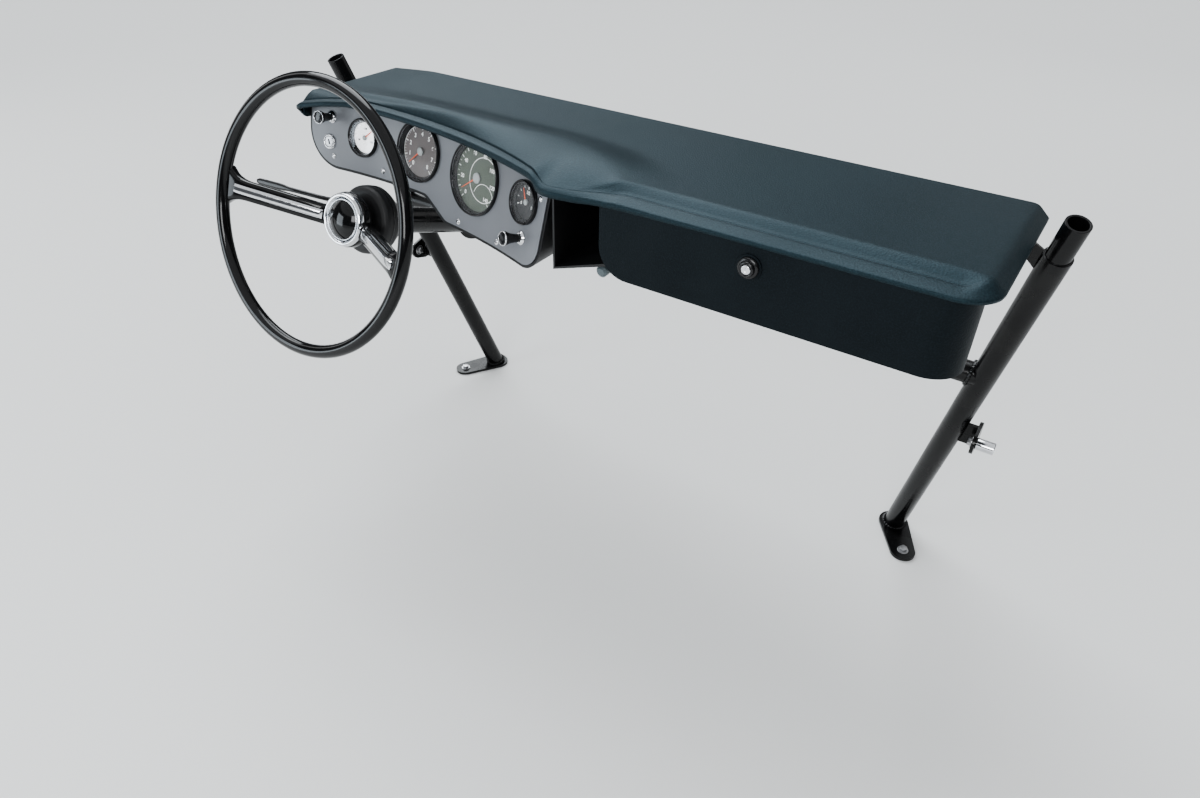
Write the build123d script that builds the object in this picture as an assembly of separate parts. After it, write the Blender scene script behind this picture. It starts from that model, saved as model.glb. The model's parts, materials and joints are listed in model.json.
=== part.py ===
"""Dashboard of an open sports buggy, with its support hoop, instruments and steering column.

Millimetres. X points to the right-hand side of the car, Y forwards and Z up. The origin is midway
between the two foot bolt holes, on the face that the feet stand on.
"""
import os
from math import asin, cos, radians, sin

from build123d import *

# Driving dimension of the whole: half the width of the moulded top, which the hoop just clears
DASH_HALF = 521.0
DASH_RIGHT = DASH_HALF + 22   # the top reaches this far on the passenger's side

# The steering wheel and its column
STEER_X = 168.0 - DASH_HALF   # middle of the driver's seat
WHEEL_Y = -442.0          # middle of the rim
WHEEL_Z = 553.0
COLUMN_TILT = 19.57       # downward slope of the column towards the front
WHEEL_TURN = 5.0          # the wheel is parked a little clockwise
WHEEL_D = 400.0
RIM_D = 20.0
DISH = 69.0               # depth of the hub's front behind the middle of the rim
HUB_R = 41.0
HUB_LENGTH = 25.0
SPOKE_WIDTH = 30.0
SPOKE_THICK = 21.0
SPOKE_DROOP = 6.5         # the spokes lie this far below the hub's middle
FLARE_HALF = 33.0         # half width of a spoke where it meets the rim
FLARE_R = 42.0
BAR_WIDTH = 14.0
BAR_PROUD = 2.5
BAR_THICK = 5.0
BAR_INNER = 44.0
BAR_OUTER = WHEEL_D / 2 - 32
HORN_RING_R = 39.0
HORN_RING_WIDTH = 7.0
HORN_RING_THICK = 9.0
BUTTON_R = 30.0
BUTTON_RISE = 10.0

# Column
SHAFT_R = 9.5
SHAFT_END = 520.0         # distances along the column are from the rim's middle
SHAFT_NECK_R = 8.5
SHAFT_NECK_LENGTH = 44.0
TUBE_R = 21.0
TUBE_WALL = 2.0
TUBE_START = 128.0
TUBE_END = 470.0
BEARING_LENGTH = 14.0
BEARING_PLAY = 0.05
SHROUD_START = 102.0
SHROUD_END = 172.0
SHROUD_R = 52.0
SHROUD_WALL = 3.0
STALK_R = 4.0
STALK_HIGH = 14.0         # above the middle of the column
STALK_KNEE = 92.0
STALK_REACH = 214.0
STALK_ROOT_DEPTH = 116.0
STALK_KNEE_DEPTH = 97.0
STALK_TIP_DEPTH = 77.0
STALK_BLADE = 11.0
BLADE_THICK = 5.0
BLADE_LENGTH = 62.0

# Instrument panel: a plate rolled to part of a cone round an upright axis behind the driver
PANEL_R = 962.4           # radius at the height of the wheel's middle
PANEL_LEAN = 13.87        # the top leans forwards
PANEL_AHEAD = 153.8       # plate to rim middle, level with it
PANEL_YAW = -0.73
PANEL_THICK = 2.0
PANEL_TOP = 116.0         # heights up the plate, from the height of the wheel's middle
PLATE_LEFT = -155.0       # places along the plate, from the middle of the driver's seat
PLATE_RIGHT = 351.0
PLATE_LOW_LEFT = 11.0
PLATE_LOW_RIGHT = -17.0
POD_MARGIN = 5.0
POD_WALL = 3.0
POD_DEPTH = 92.0
POD_FLANGE = 9.0
POD_RUN = 60.0            # its walls are made this much longer, and cut
CUT_PAST = 20.0           # cuts through the plate start and end this far from it

# Moulded top
DASH_REAR_Y = -97.0       # edge under the windscreen
LIP_Y = -362.0            # straight lip on the passenger's side
LIP_Z = 660.0             # its lower edge
DASH_TOP_Z = 677.0
DASH_WALL = 4.0
LIP_R = 6.0               # rounding of its nose
LIP_RISE = 8.0            # from its lower edge up to the crease
LIP_BAND = 22.0           # the lip juts out this far round the raised middle
LIP_BAND_LEFT = 6.0
LIP_BAND_RIGHT = 14.0
PAD_R = 7.0               # rounding of the raised middle
NOSE_X = 8.0              # beside the instruments the lip stands further back towards the seats
NOSE_END_X = 160.0
NOSE_AHEAD = 14.0
CORNER_R = 42.0
LEFT_CORNER_R = 20.0
LIP_CUTS = (-20.0, 60.0, DASH_RIGHT - CORNER_R + 4, DASH_RIGHT + 5)   # the lip's lengths meet here
HOOD_OVER = 10.3          # the hood follows the panel, this much nearer to the driver
HOOD_LIP_R = PANEL_R - HOOD_OVER
HOOD_LIP_Z = 669.0
HOOD_TOP_Z = 691.0
HOOD_ROUND = 13.0
HOOD_DEPTH = 130.0
HOOD_FADE = (-70.0, 30.0)  # the hood runs out between these two places
LIP_STEP = (-8.0, 6.0)     # and its lower edge steps down between these
HOOD_DROOP = 9.0          # at the left end it droops
DROOP_AT = (-490.0, -425.0)
SKIRT_Y = (-292.0, -232.0)  # short wall that hangs from the hood's left end
SKIRT_Z = 632.0
SKIRT_R = 14.0
ROOM_LOW_Z = 300.0        # the room under the top is taken down to here

# Glovebox
LID_LEFT = 91.0
LID_RIGHT = DASH_RIGHT - 16
LID_TOP_Z = 655.0
LID_BOTTOM_Z = 566.0
LID_FACE_Y = -360.0
LID_DEPTH = 14.0
LID_WALL = 3.0
LID_FACE_R = 9.0
LID_LOW_LEFT_R = 40.0
LID_WRAP_R = 40.0         # the lid wraps round the end of the dash
LID_TAIL = 1.0            # and goes straight on this far
BIN_RIGHT = LID_RIGHT - 16
LID_GAP = 5.0
BIN_DEPTH = 150.0
BIN_WALL = 3.0
LOCK_X = 289.0
LOCK_Z = 633.0
LOCK_R = 13.0
LOCK_PROUD = 7.0
KEY_R = 6.5
KEY_PLAY = 0.4
KEY_SEAT = 1.5
LOCK_SEAT = 2.5           # the lock's flange overlaps the lid by this
LOCK_SHANK = 16.0
HINGE_BACK = 6.0          # hinge axis behind the lid's rear edge
HINGE_RISE = 5.0          # and above its lower edge
KNUCKLE_R = 4.0
KNUCKLE_LENGTH = 30.0
KNUCKLE_GAP = 1.0
HINGE_INSET = 85.0
LEAF_THICK = 4.0
PIN_R = 2.0
PIN_PLAY = 0.05

# Open cubby between the instruments and the glovebox
CUBBY_WALL = 3.0
CUBBY_FRONT_Y = -343.0
CUBBY_LOW_LEFT = 541.0
CUBBY_LOW_RIGHT = 569.0
CUBBY_GAP = 0.5
TRAY_KNOB = (77.0, -328.0, 552.0)
TRAY_KNOB_R = 8.0

# Hoop: two raked legs and a cross tube that carries the column
FOOT_HALF = DASH_HALF - 26    # foot bolt to the middle of the car
FOOT_HOLE_R = 4.5
FOOT_THICK = 5.0
FOOT_PAD_R = 21.0
LEG_FOOT = (FOOT_HALF - 33, 58.0, 18.0)    # on the right leg's middle line, near its foot
LEG_CROSS = (DASH_HALF + 10, -74.0, 423.0)    # where the cross tube meets it
LEG_TOP_Z = 640.0
LEG_R = 17.0
LEG_WALL = 2.5
SPIGOT_LENGTH = 50.0
SPIGOT_SEAT = 40.0
SPIGOT_WALL = 3.0
CROSS_R = 16.0
COLLAR_R = 33.0
COLLAR_WALL = 4.0
COLLAR_LENGTH = 46.0
SIDE_TAB = (DASH_HALF + 23, -52.0, 301.0)    # middle of the side tab's hole, on the right
TAB_THICK = 5.0
TAB_PAD_R = 17.0
TAB_HOLE_R = 4.25
SPACER_R = 9.0
SPACER_LENGTH = 26.0
STAY_WIDTH = 25.0
STAY_THICK = 4.0
STAY_X = 215.0
STAY_REACH = 60.0         # a stay leans this far back
STAY_FLAT = 30.0
BRACKET_THICK = 5.0
BRACKET_WIDTH = 32.0
BRACKET_DROP = 42.0       # it meets the leg this far below the lip
BRACKET_FOOT = 55.0
BRACKET_NECK = 11.0
BRACKET_CLEAR = 3.0

# Small controls on the plate
KNOB_R = 10.5
KNOB_LENGTH = 15.0
COLLAR_NUT_R = 9.5
LOCK_RING_R = 12.0

# Instruments: name, place along and up the plate, bezel radius, can radius, can depth, needle angle
GAUGES = [
    ("left_gauge", -49.7, 64.4, 29.2, 26.0, 48.0, 40.0),
    ("tachometer", 67.4, 68.2, 44.6, 40.0, 62.0, 222.0),
    ("speedometer", 192.2, 61.7, 52.6, 49.5, 78.0, 215.0),
    ("right_gauge", 305.1, 63.1, 29.6, 26.0, 48.0, 118.0),
]
BEZEL_PROUD = 7.0
BEZEL_WIDTH = 3.2
LENS_DEPTH = 2.5          # below the bezel's front
LENS_THICK = 1.5
DIAL_DEPTH = 9.0
DIAL_THICK = 1.2
NEEDLE_LIFT = 2.0
NEEDLE_THICK = 0.8
CAN_WALL = 1.2
HOLE_PLAY = 0.4

# Pull switches: name, place along and up the plate, length of its stem
SWITCHES = [("left", -115.0, 85.0, 16.0), ("right", 310.0, 15.6, 16.0)]
IGNITION = (-119.0, 47.0)

AXIS = Vector(0, cos(radians(COLUMN_TILT)), -sin(radians(COLUMN_TILT)))
CONE_X = STEER_X + PANEL_R * sin(radians(PANEL_YAW))
CONE_Y = WHEEL_Y + PANEL_AHEAD - PANEL_R * cos(radians(PANEL_YAW))


def column():
    """Frame at the rim's middle: z along the column away from the driver, x to the right, y down."""
    return Plane(origin=(STEER_X, WHEEL_Y, WHEEL_Z), x_dir=(1, 0, 0), z_dir=AXIS)


def on_wheel(shape):
    """Place a piece that turns with the wheel."""
    return column() * (Rot(0, 0, WHEEL_TURN) * shape)


def panel(s, v, proud=0.0):
    """Frame on the plate at s along it and v up it: z points to the driver, x to the right."""
    phi = radians(PANEL_YAW) - s / PANEL_R
    lean = radians(PANEL_LEAN)
    out = Vector(-sin(phi), cos(phi), 0)
    up = Vector(0, 0, 1) * cos(lean) + out * sin(lean)
    facing = Vector(0, 0, 1) * sin(lean) - out * cos(lean)
    origin = Vector(CONE_X, CONE_Y, WHEEL_Z) + out * PANEL_R + up * v + facing * proud
    return Plane(origin=origin, x_dir=(cos(phi), sin(phi), 0), z_dir=facing)


def ring(r_out, r_in, z_from, z_to):
    """Plain tube about Z."""
    section = Circle(r_out)
    if r_in > 0:
        section -= Circle(r_in)
    return extrude(Pos(0, 0, z_from) * section, z_to - z_from)


def box(x0, x1, y0, y1, z0, z1):
    """Box between two corners."""
    return Pos((x0 + x1) / 2, (y0 + y1) / 2, (z0 + z1) / 2) * Box(x1 - x0, y1 - y0, z1 - z0)


def turned(*points):
    """Solid of revolution about Z from a closed outline of (radius, height)."""
    outline = make_face(Polyline(*points, close=True))
    return revolve(Plane.XZ * outline, Axis.Z)


def rod(start, end, radius):
    """Round bar between two points."""
    start, end = Vector(start), Vector(end)
    along = end - start
    return extrude(Plane(origin=start, z_dir=along) * Circle(radius), along.length)


def prism_y(sketch, y_from, y_to):
    """Extrude a sketch drawn in X and Z between two places along Y."""
    return extrude(Plane(origin=(0, y_to, 0), x_dir=(1, 0, 0), z_dir=(0, -1, 0)) * sketch, y_to - y_from)


def mirrored(shape):
    """The same piece on the left-hand side."""
    return mirror(shape, about=Plane.YZ)


# Steering wheel

def spoke_line(proud):
    """Front line of a spoke, from the hub to the rim, as (radius, depth) lifted towards the driver."""
    reach = WHEEL_D / 2 - RIM_D / 2
    return [
        (HUB_R * 0.55, DISH + 2 - proud),
        (HUB_R + 6, DISH - 6 - proud),
        (reach - 34, 6 - proud),
        (reach + 6, -1 - proud),
    ]


def strip(proud, thick, start, end, half_width):
    """Band that follows the spoke's front line, as wide as 2 * half_width."""
    front = spoke_line(proud)
    back = [(r, d + thick) for r, d in reversed(front)]
    side = make_face(Polyline(*front, *back, close=True))
    band = extrude(Plane.XZ * side, half_width, both=True)
    return band & box(start, end, -half_width, half_width, -60, 140)


def spoke():
    """Spoke along +X, flared where it meets the rim, with a channel for its bright bar."""
    reach = WHEEL_D / 2 - RIM_D / 2
    band = strip(0, SPOKE_THICK, 0, WHEEL_D / 2, FLARE_HALF)
    half = SPOKE_WIDTH / 2
    outline = make_face(FilletPolyline(
        (0, -half - 3), (reach - FLARE_HALF + 8, -half), (reach + 6, -FLARE_HALF - 3),
        (reach + 6, FLARE_HALF + 3), (reach - FLARE_HALF + 8, half), (0, half + 3),
        radius=[1, FLARE_R, 1, 1, FLARE_R, 1], close=True))
    body = band & extrude(Pos(0, 0, -60) * outline, 200)
    channel = strip(2, 2 + BAR_THICK - BAR_PROUD, BAR_INNER, BAR_OUTER, BAR_WIDTH / 2 + 0.3)
    return body - channel


def both_spokes(shape):
    """A piece and its twin on the other spoke, drooped, in the wheel's own frame."""
    low = Pos(0, SPOKE_DROOP, 0) * shape
    return [low, mirror(low, about=Plane.YZ)]


def steering_wheel():
    """Thin rim, two spokes and the hub, moulded over a steel frame."""
    middle = WHEEL_D / 2 - RIM_D / 2
    centre = turned((0, DISH), (HUB_R - 4, DISH), (HUB_R, DISH + 4), (HUB_R, DISH + 12),
                    (HUB_R - 7, DISH + HUB_LENGTH), (0, DISH + HUB_LENGTH))
    inside_rim = ring(middle + 3, 0, -DISH, 2 * DISH)
    for arm in both_spokes(spoke()):
        centre += arm & inside_rim
    centre -= ring(SHAFT_R, 0, DISH - 10, DISH + HUB_LENGTH + 10)
    centre -= ring(HORN_RING_R + 0.3, 0, DISH - 20, DISH + 1)
    rim = Rot(0, 0, 90) * Torus(middle, RIM_D / 2)
    return on_wheel(rim + centre)


def spoke_bars():
    """Bright bars set in the spokes' channels."""
    bar = strip(BAR_PROUD, BAR_THICK, BAR_INNER, BAR_OUTER, BAR_WIDTH / 2)
    return on_wheel(Compound(both_spokes(bar)))


def horn_ring():
    """Bright ring round the horn button."""
    r_in = HORN_RING_R - HORN_RING_WIDTH
    front = DISH + 1 - HORN_RING_THICK
    return column() * turned((r_in, DISH + 1), (HORN_RING_R, DISH + 1), (HORN_RING_R, front + 3),
                             (HORN_RING_R - 2, front + 0.6), (HORN_RING_R - 4, front), (r_in, front + 3))


def horn_button():
    """Plain domed button."""
    base = DISH + 1
    edge = base - HORN_RING_THICK + 4
    dome_r = (BUTTON_R ** 2 + BUTTON_RISE ** 2) / (2 * BUTTON_RISE)
    middle = edge - BUTTON_RISE + dome_r
    share = asin(BUTTON_R / dome_r) / 2
    apex = (0, middle - dome_r)
    dome = ThreePointArc((BUTTON_R, edge), (dome_r * sin(share), middle - dome_r * cos(share)), apex)
    outline = Polyline(apex, (0, base), (BUTTON_R, base), (BUTTON_R, edge))
    return column() * revolve(Plane.XZ * make_face(outline + dome), Axis.Z)


def steering_shaft():
    """Shaft from the wheel's hub to its turned-down end, which takes the lower shaft's coupling."""
    shoulder = SHAFT_END - SHAFT_NECK_LENGTH
    return column() * (ring(SHAFT_R, 0, DISH + 1, shoulder) + ring(SHAFT_NECK_R, 0, shoulder, SHAFT_END))


# Column

def column_tube():
    """Outer tube of the column."""
    return column() * ring(TUBE_R, TUBE_R - TUBE_WALL, TUBE_START, TUBE_END)


def column_bearings():
    """Two plain bearings that centre the shaft in the tube."""
    play = SHAFT_R + BEARING_PLAY
    top = ring(TUBE_R - TUBE_WALL, play, TUBE_START + 2, TUBE_START + 2 + BEARING_LENGTH)
    bottom = ring(TUBE_R - TUBE_WALL, play, TUBE_END - 2 - BEARING_LENGTH, TUBE_END - 2)
    return column() * Compound([top, bottom])


def indicator_shroud():
    """Round moulded housing of the indicator switch, clamped on the column tube."""
    wall = SHROUD_WALL
    outer = turned((0, SHROUD_START), (SHROUD_R - 9, SHROUD_START), (SHROUD_R, SHROUD_START + 9),
                   (SHROUD_R, SHROUD_START + 28), (TUBE_R + 5, SHROUD_END - 6), (TUBE_R + 5, SHROUD_END),
                   (0, SHROUD_END))
    inner = turned((0, SHROUD_START + wall), (SHROUD_R - 9 - wall * 0.4, SHROUD_START + wall),
                   (SHROUD_R - wall, SHROUD_START + 9 + wall * 0.6), (SHROUD_R - wall, SHROUD_START + 27),
                   (TUBE_R + 2, SHROUD_END - 8), (0, SHROUD_END - 8))
    mouth = ring(SHAFT_R + 5, 0, SHROUD_START - 1, SHROUD_START + wall + 1)
    seat = ring(TUBE_R, 0, TUBE_START, SHROUD_END + 1)
    root, knee, _ = stalk_path()
    outward = Vector(root) - Vector(knee)
    slot = rod(knee, Vector(root) + outward, STALK_R + 0.2)
    return column() * (outer - inner - mouth - seat - slot)


def stalk_path():
    """Root, knee and tip of the stalk in the column's frame."""
    return [(4 - SHROUD_R, -STALK_HIGH, STALK_ROOT_DEPTH), (-STALK_KNEE, -STALK_HIGH, STALK_KNEE_DEPTH),
            (-STALK_REACH, 2 - STALK_HIGH, STALK_TIP_DEPTH)]


def indicator_stalk():
    """Thin lever with a flat thumb end."""
    root, knee, tip = [Vector(p) for p in stalk_path()]
    lever = rod(root, knee, STALK_R) + Pos(*knee) * Sphere(STALK_R) + rod(knee, tip, STALK_R)
    along = tip - knee
    blade_start = tip - along.normalized() * BLADE_LENGTH
    section = RectangleRounded(STALK_BLADE, BLADE_THICK, BLADE_THICK / 2 - 0.1)
    blade = extrude(Plane(origin=blade_start, x_dir=(0, 1, 0), z_dir=along) * section, BLADE_LENGTH)
    return column() * (lever + blade)


# Instrument panel

def plate_outline(grow=0.0, top=PANEL_TOP):
    """Outline of the plate in X and Z; it is wider and deeper by grow."""
    # corners as (along the plate, up the plate, corner radius)
    corners = [
        (PLATE_LEFT - grow, top, 3.0),
        (PLATE_LEFT - grow, PLATE_LOW_LEFT - grow, 55.0 + grow),
        (88.0 - grow, PLATE_LOW_LEFT - grow, 24.0),
        (136.0 - grow, PLATE_LOW_RIGHT - grow, 20.0),
        (PLATE_RIGHT + grow, PLATE_LOW_RIGHT - grow, 34.0 + grow),
        (PLATE_RIGHT + grow, top, 3.0),
    ]
    points = []
    for s, v, _ in corners:
        place = panel(s, v).origin
        points.append((place.X, place.Z))
    return make_face(FilletPolyline(*points, radius=[c[2] for c in corners], close=True))


def cone_shell(near, far, low=-60.0, high=PANEL_TOP + 30):
    """Slice of the panel's cone between two depths behind its face."""
    lean = radians(PANEL_LEAN)
    points = []
    for depth, v in [(near, low), (far, low), (far, high), (near, high)]:
        points.append((PANEL_R + v * sin(lean) + depth / cos(lean), v * cos(lean)))
    return Pos(CONE_X, CONE_Y, WHEEL_Z) * turned(*points)


def plate_prism(grow=0.0, top=PANEL_TOP):
    """The plate's outline as a prism that runs forwards."""
    return prism_y(plate_outline(grow, top), WHEEL_Y, WHEEL_Y + PANEL_AHEAD + 3 * POD_DEPTH)


def plate_slice():
    """The plate's full thickness and a little beyond, without its outline."""
    return cone_shell(0, PANEL_THICK + 3, -40, PANEL_TOP + 10)


def instrument_panel():
    """Rolled plate with the holes for all that it carries."""
    plate = cone_shell(0, PANEL_THICK) & plate_prism()
    for _, s, v, _, can_r, _, _ in GAUGES:
        plate -= panel(s, v) * ring(can_r + HOLE_PLAY, 0, -CUT_PAST, CUT_PAST)
    for _, s, v, _ in SWITCHES:
        plate -= panel(s, v) * ring(5.4, 0, -CUT_PAST, CUT_PAST)
    plate -= panel(*IGNITION) * ring(LOCK_RING_R - 1.5, 0, -CUT_PAST, CUT_PAST)
    return plate


def instrument_pod():
    """Moulded box behind the plate, flanged where the plate is screwed on."""
    tall = PANEL_TOP + POD_RUN
    walls = plate_prism(POD_MARGIN, tall) - plate_prism(POD_MARGIN - POD_WALL, tall + CUT_PAST)
    box_part = walls & cone_shell(PANEL_THICK, POD_DEPTH, -POD_RUN, tall)
    rim = plate_prism(POD_MARGIN, PANEL_TOP - 4) - plate_prism(-POD_FLANGE, PANEL_TOP + CUT_PAST)
    flange = rim & cone_shell(PANEL_THICK, PANEL_THICK + POD_WALL, -POD_RUN, tall)
    return (box_part + flange) & under_dash()


# Moulded top

def top_plan(inset, band=0.0, left_band=0.0, right_band=0.0):
    """Moulded top from above, drawn in by inset, and by the bands at the front and the ends."""
    left = -DASH_HALF + inset + left_band
    right = DASH_RIGHT - inset - right_band
    front = LIP_Y + inset + band
    rear = DASH_REAR_Y - inset
    nose = front - NOSE_AHEAD
    plan = make_face(Polyline((left, rear), (left, nose), (NOSE_X, nose), (NOSE_END_X, front),
                              (right, front), (right, rear), close=True))
    plan -= Pos(CONE_X, CONE_Y) * Circle(HOOD_LIP_R + inset + band)
    for end_x, radius in ((left, LEFT_CORNER_R - left_band), (right, CORNER_R - right_band)):
        corners = [p for p in plan.vertices() if abs(p.X - end_x) < 1 and p.Y < rear - 1]
        plan = fillet(corners, radius - inset)
    return plan


def pad_plan(inset):
    """Outline of the raised middle of the top."""
    return top_plan(inset, LIP_BAND, LIP_BAND_LEFT, LIP_BAND_RIGHT)


def raised(plan, z_from, z_to, radius):
    """Prism on a plan, its top edge rounded except at the rear."""
    part = extrude(Pos(0, 0, z_from) * plan, z_to - z_from)
    if radius:
        edges = part.faces().sort_by(Axis.Z)[-1].outer_wire().edges()
        part = fillet([e for e in edges if e.center().Y < DASH_REAR_Y - 5], radius)
    return part


def slab(inset, z_from):
    """Flat part of the moulded top and its lip, smaller by inset all round."""
    soft = inset == 0
    lip = raised(top_plan(inset), z_from, LIP_Z + LIP_RISE - inset, LIP_R * soft)
    return lip + raised(pad_plan(inset), z_from, DASH_TOP_Z - inset, PAD_R * soft)


def hood_line(level, end_x, end_level, start_x, drop=HOOD_DROOP):
    """Height of the hood from end to end: it droops at the left and runs out at the right."""
    return [(-DASH_HALF - 5, level - drop), (DROOP_AT[0], level - drop), (DROOP_AT[1], level),
            (start_x, level), (end_x, end_level)]


def below(line, low):
    """Prism under a line in X and Z, from the seats to the windscreen."""
    points = [(line[0][0], low)] + line + [(line[-1][0], low)]
    return prism_y(make_face(Polyline(*points, close=True)), LIP_Y - 60, DASH_REAR_Y + 5)


def shoulder(r, z, radius, r_to, z_from):
    """Section of a round ledge: up its face, round its edge and back to r_to."""
    return (Line((r, z_from), (r, z - radius))
            + ThreePointArc((r, z - radius), (r + radius * 0.293, z - radius * 0.293), (r + radius, z))
            + Polyline((r + radius, z), *r_to, (r_to[-1][0], z_from), (r, z_from)))


def hood(inset, z_from):
    """Hood and lip over the instruments, round the same axis as the plate."""
    r0 = HOOD_LIP_R + inset
    r1 = r0 + LIP_BAND
    rim = HOOD_LIP_Z + LIP_RISE - inset
    top = HOOD_TOP_Z - inset
    low = DASH_TOP_Z - inset
    far = r0 + HOOD_DEPTH
    ledge = shoulder(r0, rim, LIP_R - inset, [(r1 + 1, rim)], z_from)
    crown = shoulder(r1, top, HOOD_ROUND - inset, [(r1 + HOOD_ROUND + 8, top - 1), (far, low)], z_from)
    axis_at = Pos(CONE_X, CONE_Y, 0)
    lip = axis_at * revolve(Plane.XZ * make_face(ledge), Axis.Z)
    lip &= below(hood_line(rim, LIP_STEP[1], LIP_Z + LIP_RISE - inset, LIP_STEP[0]), z_from - 1)
    lip &= raised(top_plan(inset), z_from - 1, top + 1, 0)
    pad = axis_at * revolve(Plane.XZ * make_face(crown), Axis.Z)
    pad &= below(hood_line(top, HOOD_FADE[1], low, HOOD_FADE[0]), z_from - 1)
    return lip + (pad & raised(pad_plan(inset), z_from - 1, top + 1, 0))


def under_dash():
    """Room under the moulded top's skin."""
    floor = box(-DASH_HALF, DASH_RIGHT, LIP_Y - 80, DASH_REAR_Y, ROOM_LOW_Z, LIP_Z - 1)
    return slab(DASH_WALL, LIP_Z - 2) + hood(DASH_WALL, LIP_Z - 2) + floor


def moulded_top():
    """Moulded top with the lip round it and the hood over the instruments, open below."""
    z_from = LIP_Z - 10
    low = z_from - 20
    left, right = -DASH_HALF - 5, DASH_RIGHT + 5
    shell = slab(0, z_from) + hood(0, z_from)
    shell -= slab(DASH_WALL, low) + hood(DASH_WALL, low)
    edge = hood_line(HOOD_LIP_Z, LIP_STEP[1], LIP_Z, LIP_STEP[0]) + [(right, LIP_Z)]
    shell -= below(edge, low)
    shell -= box(left, right, DASH_REAR_Y - DASH_WALL - 0.01, DASH_REAR_Y + 5, low, LIP_Z + LIP_RISE)
    front, rear = SKIRT_Y
    side = Polyline((front, HOOD_LIP_Z), (front, SKIRT_Z + SKIRT_R), (front + SKIRT_R, SKIRT_Z),
                    (rear, SKIRT_Z), (rear, HOOD_LIP_Z), close=True)
    return shell + Pos(-DASH_HALF, 0, 0) * extrude(Plane.YZ * make_face(side), DASH_WALL)


def lip_room():
    """Room of the passenger's lip, up to the crease."""
    return box(LIP_CUTS[0], LIP_CUTS[-1], LIP_Y - 60, DASH_REAR_Y + 5, LIP_Z - 30, LIP_Z + LIP_RISE)


def dash_top():
    """Moulded top without the passenger's lip."""
    return moulded_top() - lip_room()


def dash_lip():
    """Lip on the passenger's side, in three lengths that are moulded to the top along the crease."""
    whole = moulded_top() & lip_room()
    lengths = []
    for start, end in zip(LIP_CUTS, LIP_CUTS[1:]):
        part = whole & box(start, end, LIP_Y - 60, DASH_REAR_Y + 5, LIP_Z - 30, DASH_TOP_Z)
        lengths.extend(part.solids())
    return Compound(lengths)


# Glovebox

def lid_block(inset=0.0):
    """Solid shape of the lid: flat in front, wrapped round the end, its lower left corner rounded."""
    front, back = LID_FACE_Y + inset, LID_FACE_Y + LID_WRAP_R + LID_TAIL
    left, right = LID_LEFT + inset, LID_RIGHT - inset
    low, high = LID_BOTTOM_Z + inset, LID_TOP_Z - inset
    block = box(left, right, front, back, low, high)
    bend = block.edges().filter_by(Axis.Z).sort_by(lambda e: e.center().Y - e.center().X)[0]
    block = fillet(bend, LID_WRAP_R - inset)
    corner = block.edges().filter_by(Axis.Y).sort_by(lambda e: e.center().Z + e.center().X)[0]
    return fillet(corner, LID_LOW_LEFT_R - inset)


def hinge_axis():
    """Y and Z of the lid's hinge."""
    return LID_FACE_Y + LID_DEPTH + HINGE_BACK, LID_BOTTOM_Z + HINGE_RISE


def hinge_rod(radius, start=LID_LEFT, end=LID_RIGHT):
    """Round bar on the hinge's axis."""
    y, z = hinge_axis()
    return rod((start, y, z), (end, y, z), radius)


def lid_spans():
    """Stretches of the hinge's axis that the lid's knuckles take."""
    half = KNUCKLE_LENGTH / 2
    return [(x - half, x + half) for x in (LID_LEFT + HINGE_INSET, LID_RIGHT - HINGE_INSET)]


def bin_spans():
    """Stretches on both sides of each of the lid's knuckles, which the bin's take."""
    spans = []
    for x0, x1 in lid_spans():
        spans.append((x0 - KNUCKLE_GAP - KNUCKLE_LENGTH, x0 - KNUCKLE_GAP))
        spans.append((x1 + KNUCKLE_GAP, x1 + KNUCKLE_GAP + KNUCKLE_LENGTH))
    return spans


def glovebox_lid():
    """Drop-down lid, a shallow pan that wraps round the end of the dash, with two knuckles below."""
    rear = LID_FACE_Y + LID_DEPTH
    block = lid_block()
    bend_x = LID_RIGHT - LID_WRAP_R
    bend_y = LID_FACE_Y + LID_WRAP_R
    edges = [e for e in block.faces().sort_by(Axis.Y)[0].outer_wire().edges() if e.center().X < bend_x - 1]
    soft = [e for e in edges if e.center().Z < LID_TOP_Z - 1]
    low_edges = [e for e in block.edges() if e.center().Z < LID_BOTTOM_Z + 1]
    turn = [e for e in low_edges if e.center().X > bend_x + 1 and e.center().Y < bend_y - 1]
    pan = fillet(soft + turn, LID_FACE_R) - lid_block(LID_WALL)
    low, high = LID_BOTTOM_Z - 5, LID_TOP_Z + 5
    behind = box(LID_LEFT - 5, bend_x, rear, bend_y + 5, low, high)
    behind += Pos(bend_x, bend_y, 0) * ring(LID_WRAP_R - LID_WALL - 1, 0, low, high)
    behind &= box(LID_LEFT - 5, LID_RIGHT, rear, bend_y + 5, low, high)
    pan -= behind
    y, z = hinge_axis()
    for x0, x1 in lid_spans():
        pan += box(x0, x1, rear - 2 * LID_WALL, y, LID_BOTTOM_Z + 1, LID_BOTTOM_Z + 1 + LEAF_THICK)
        pan += hinge_rod(KNUCKLE_R, x0, x1)
    pan -= hinge_rod(PIN_R + PIN_PLAY)
    pan -= prism_y(Pos(LOCK_X, LOCK_Z) * Circle(LOCK_R - LOCK_SEAT), LID_FACE_Y - 5, LID_FACE_Y + 10)
    return pan


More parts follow.
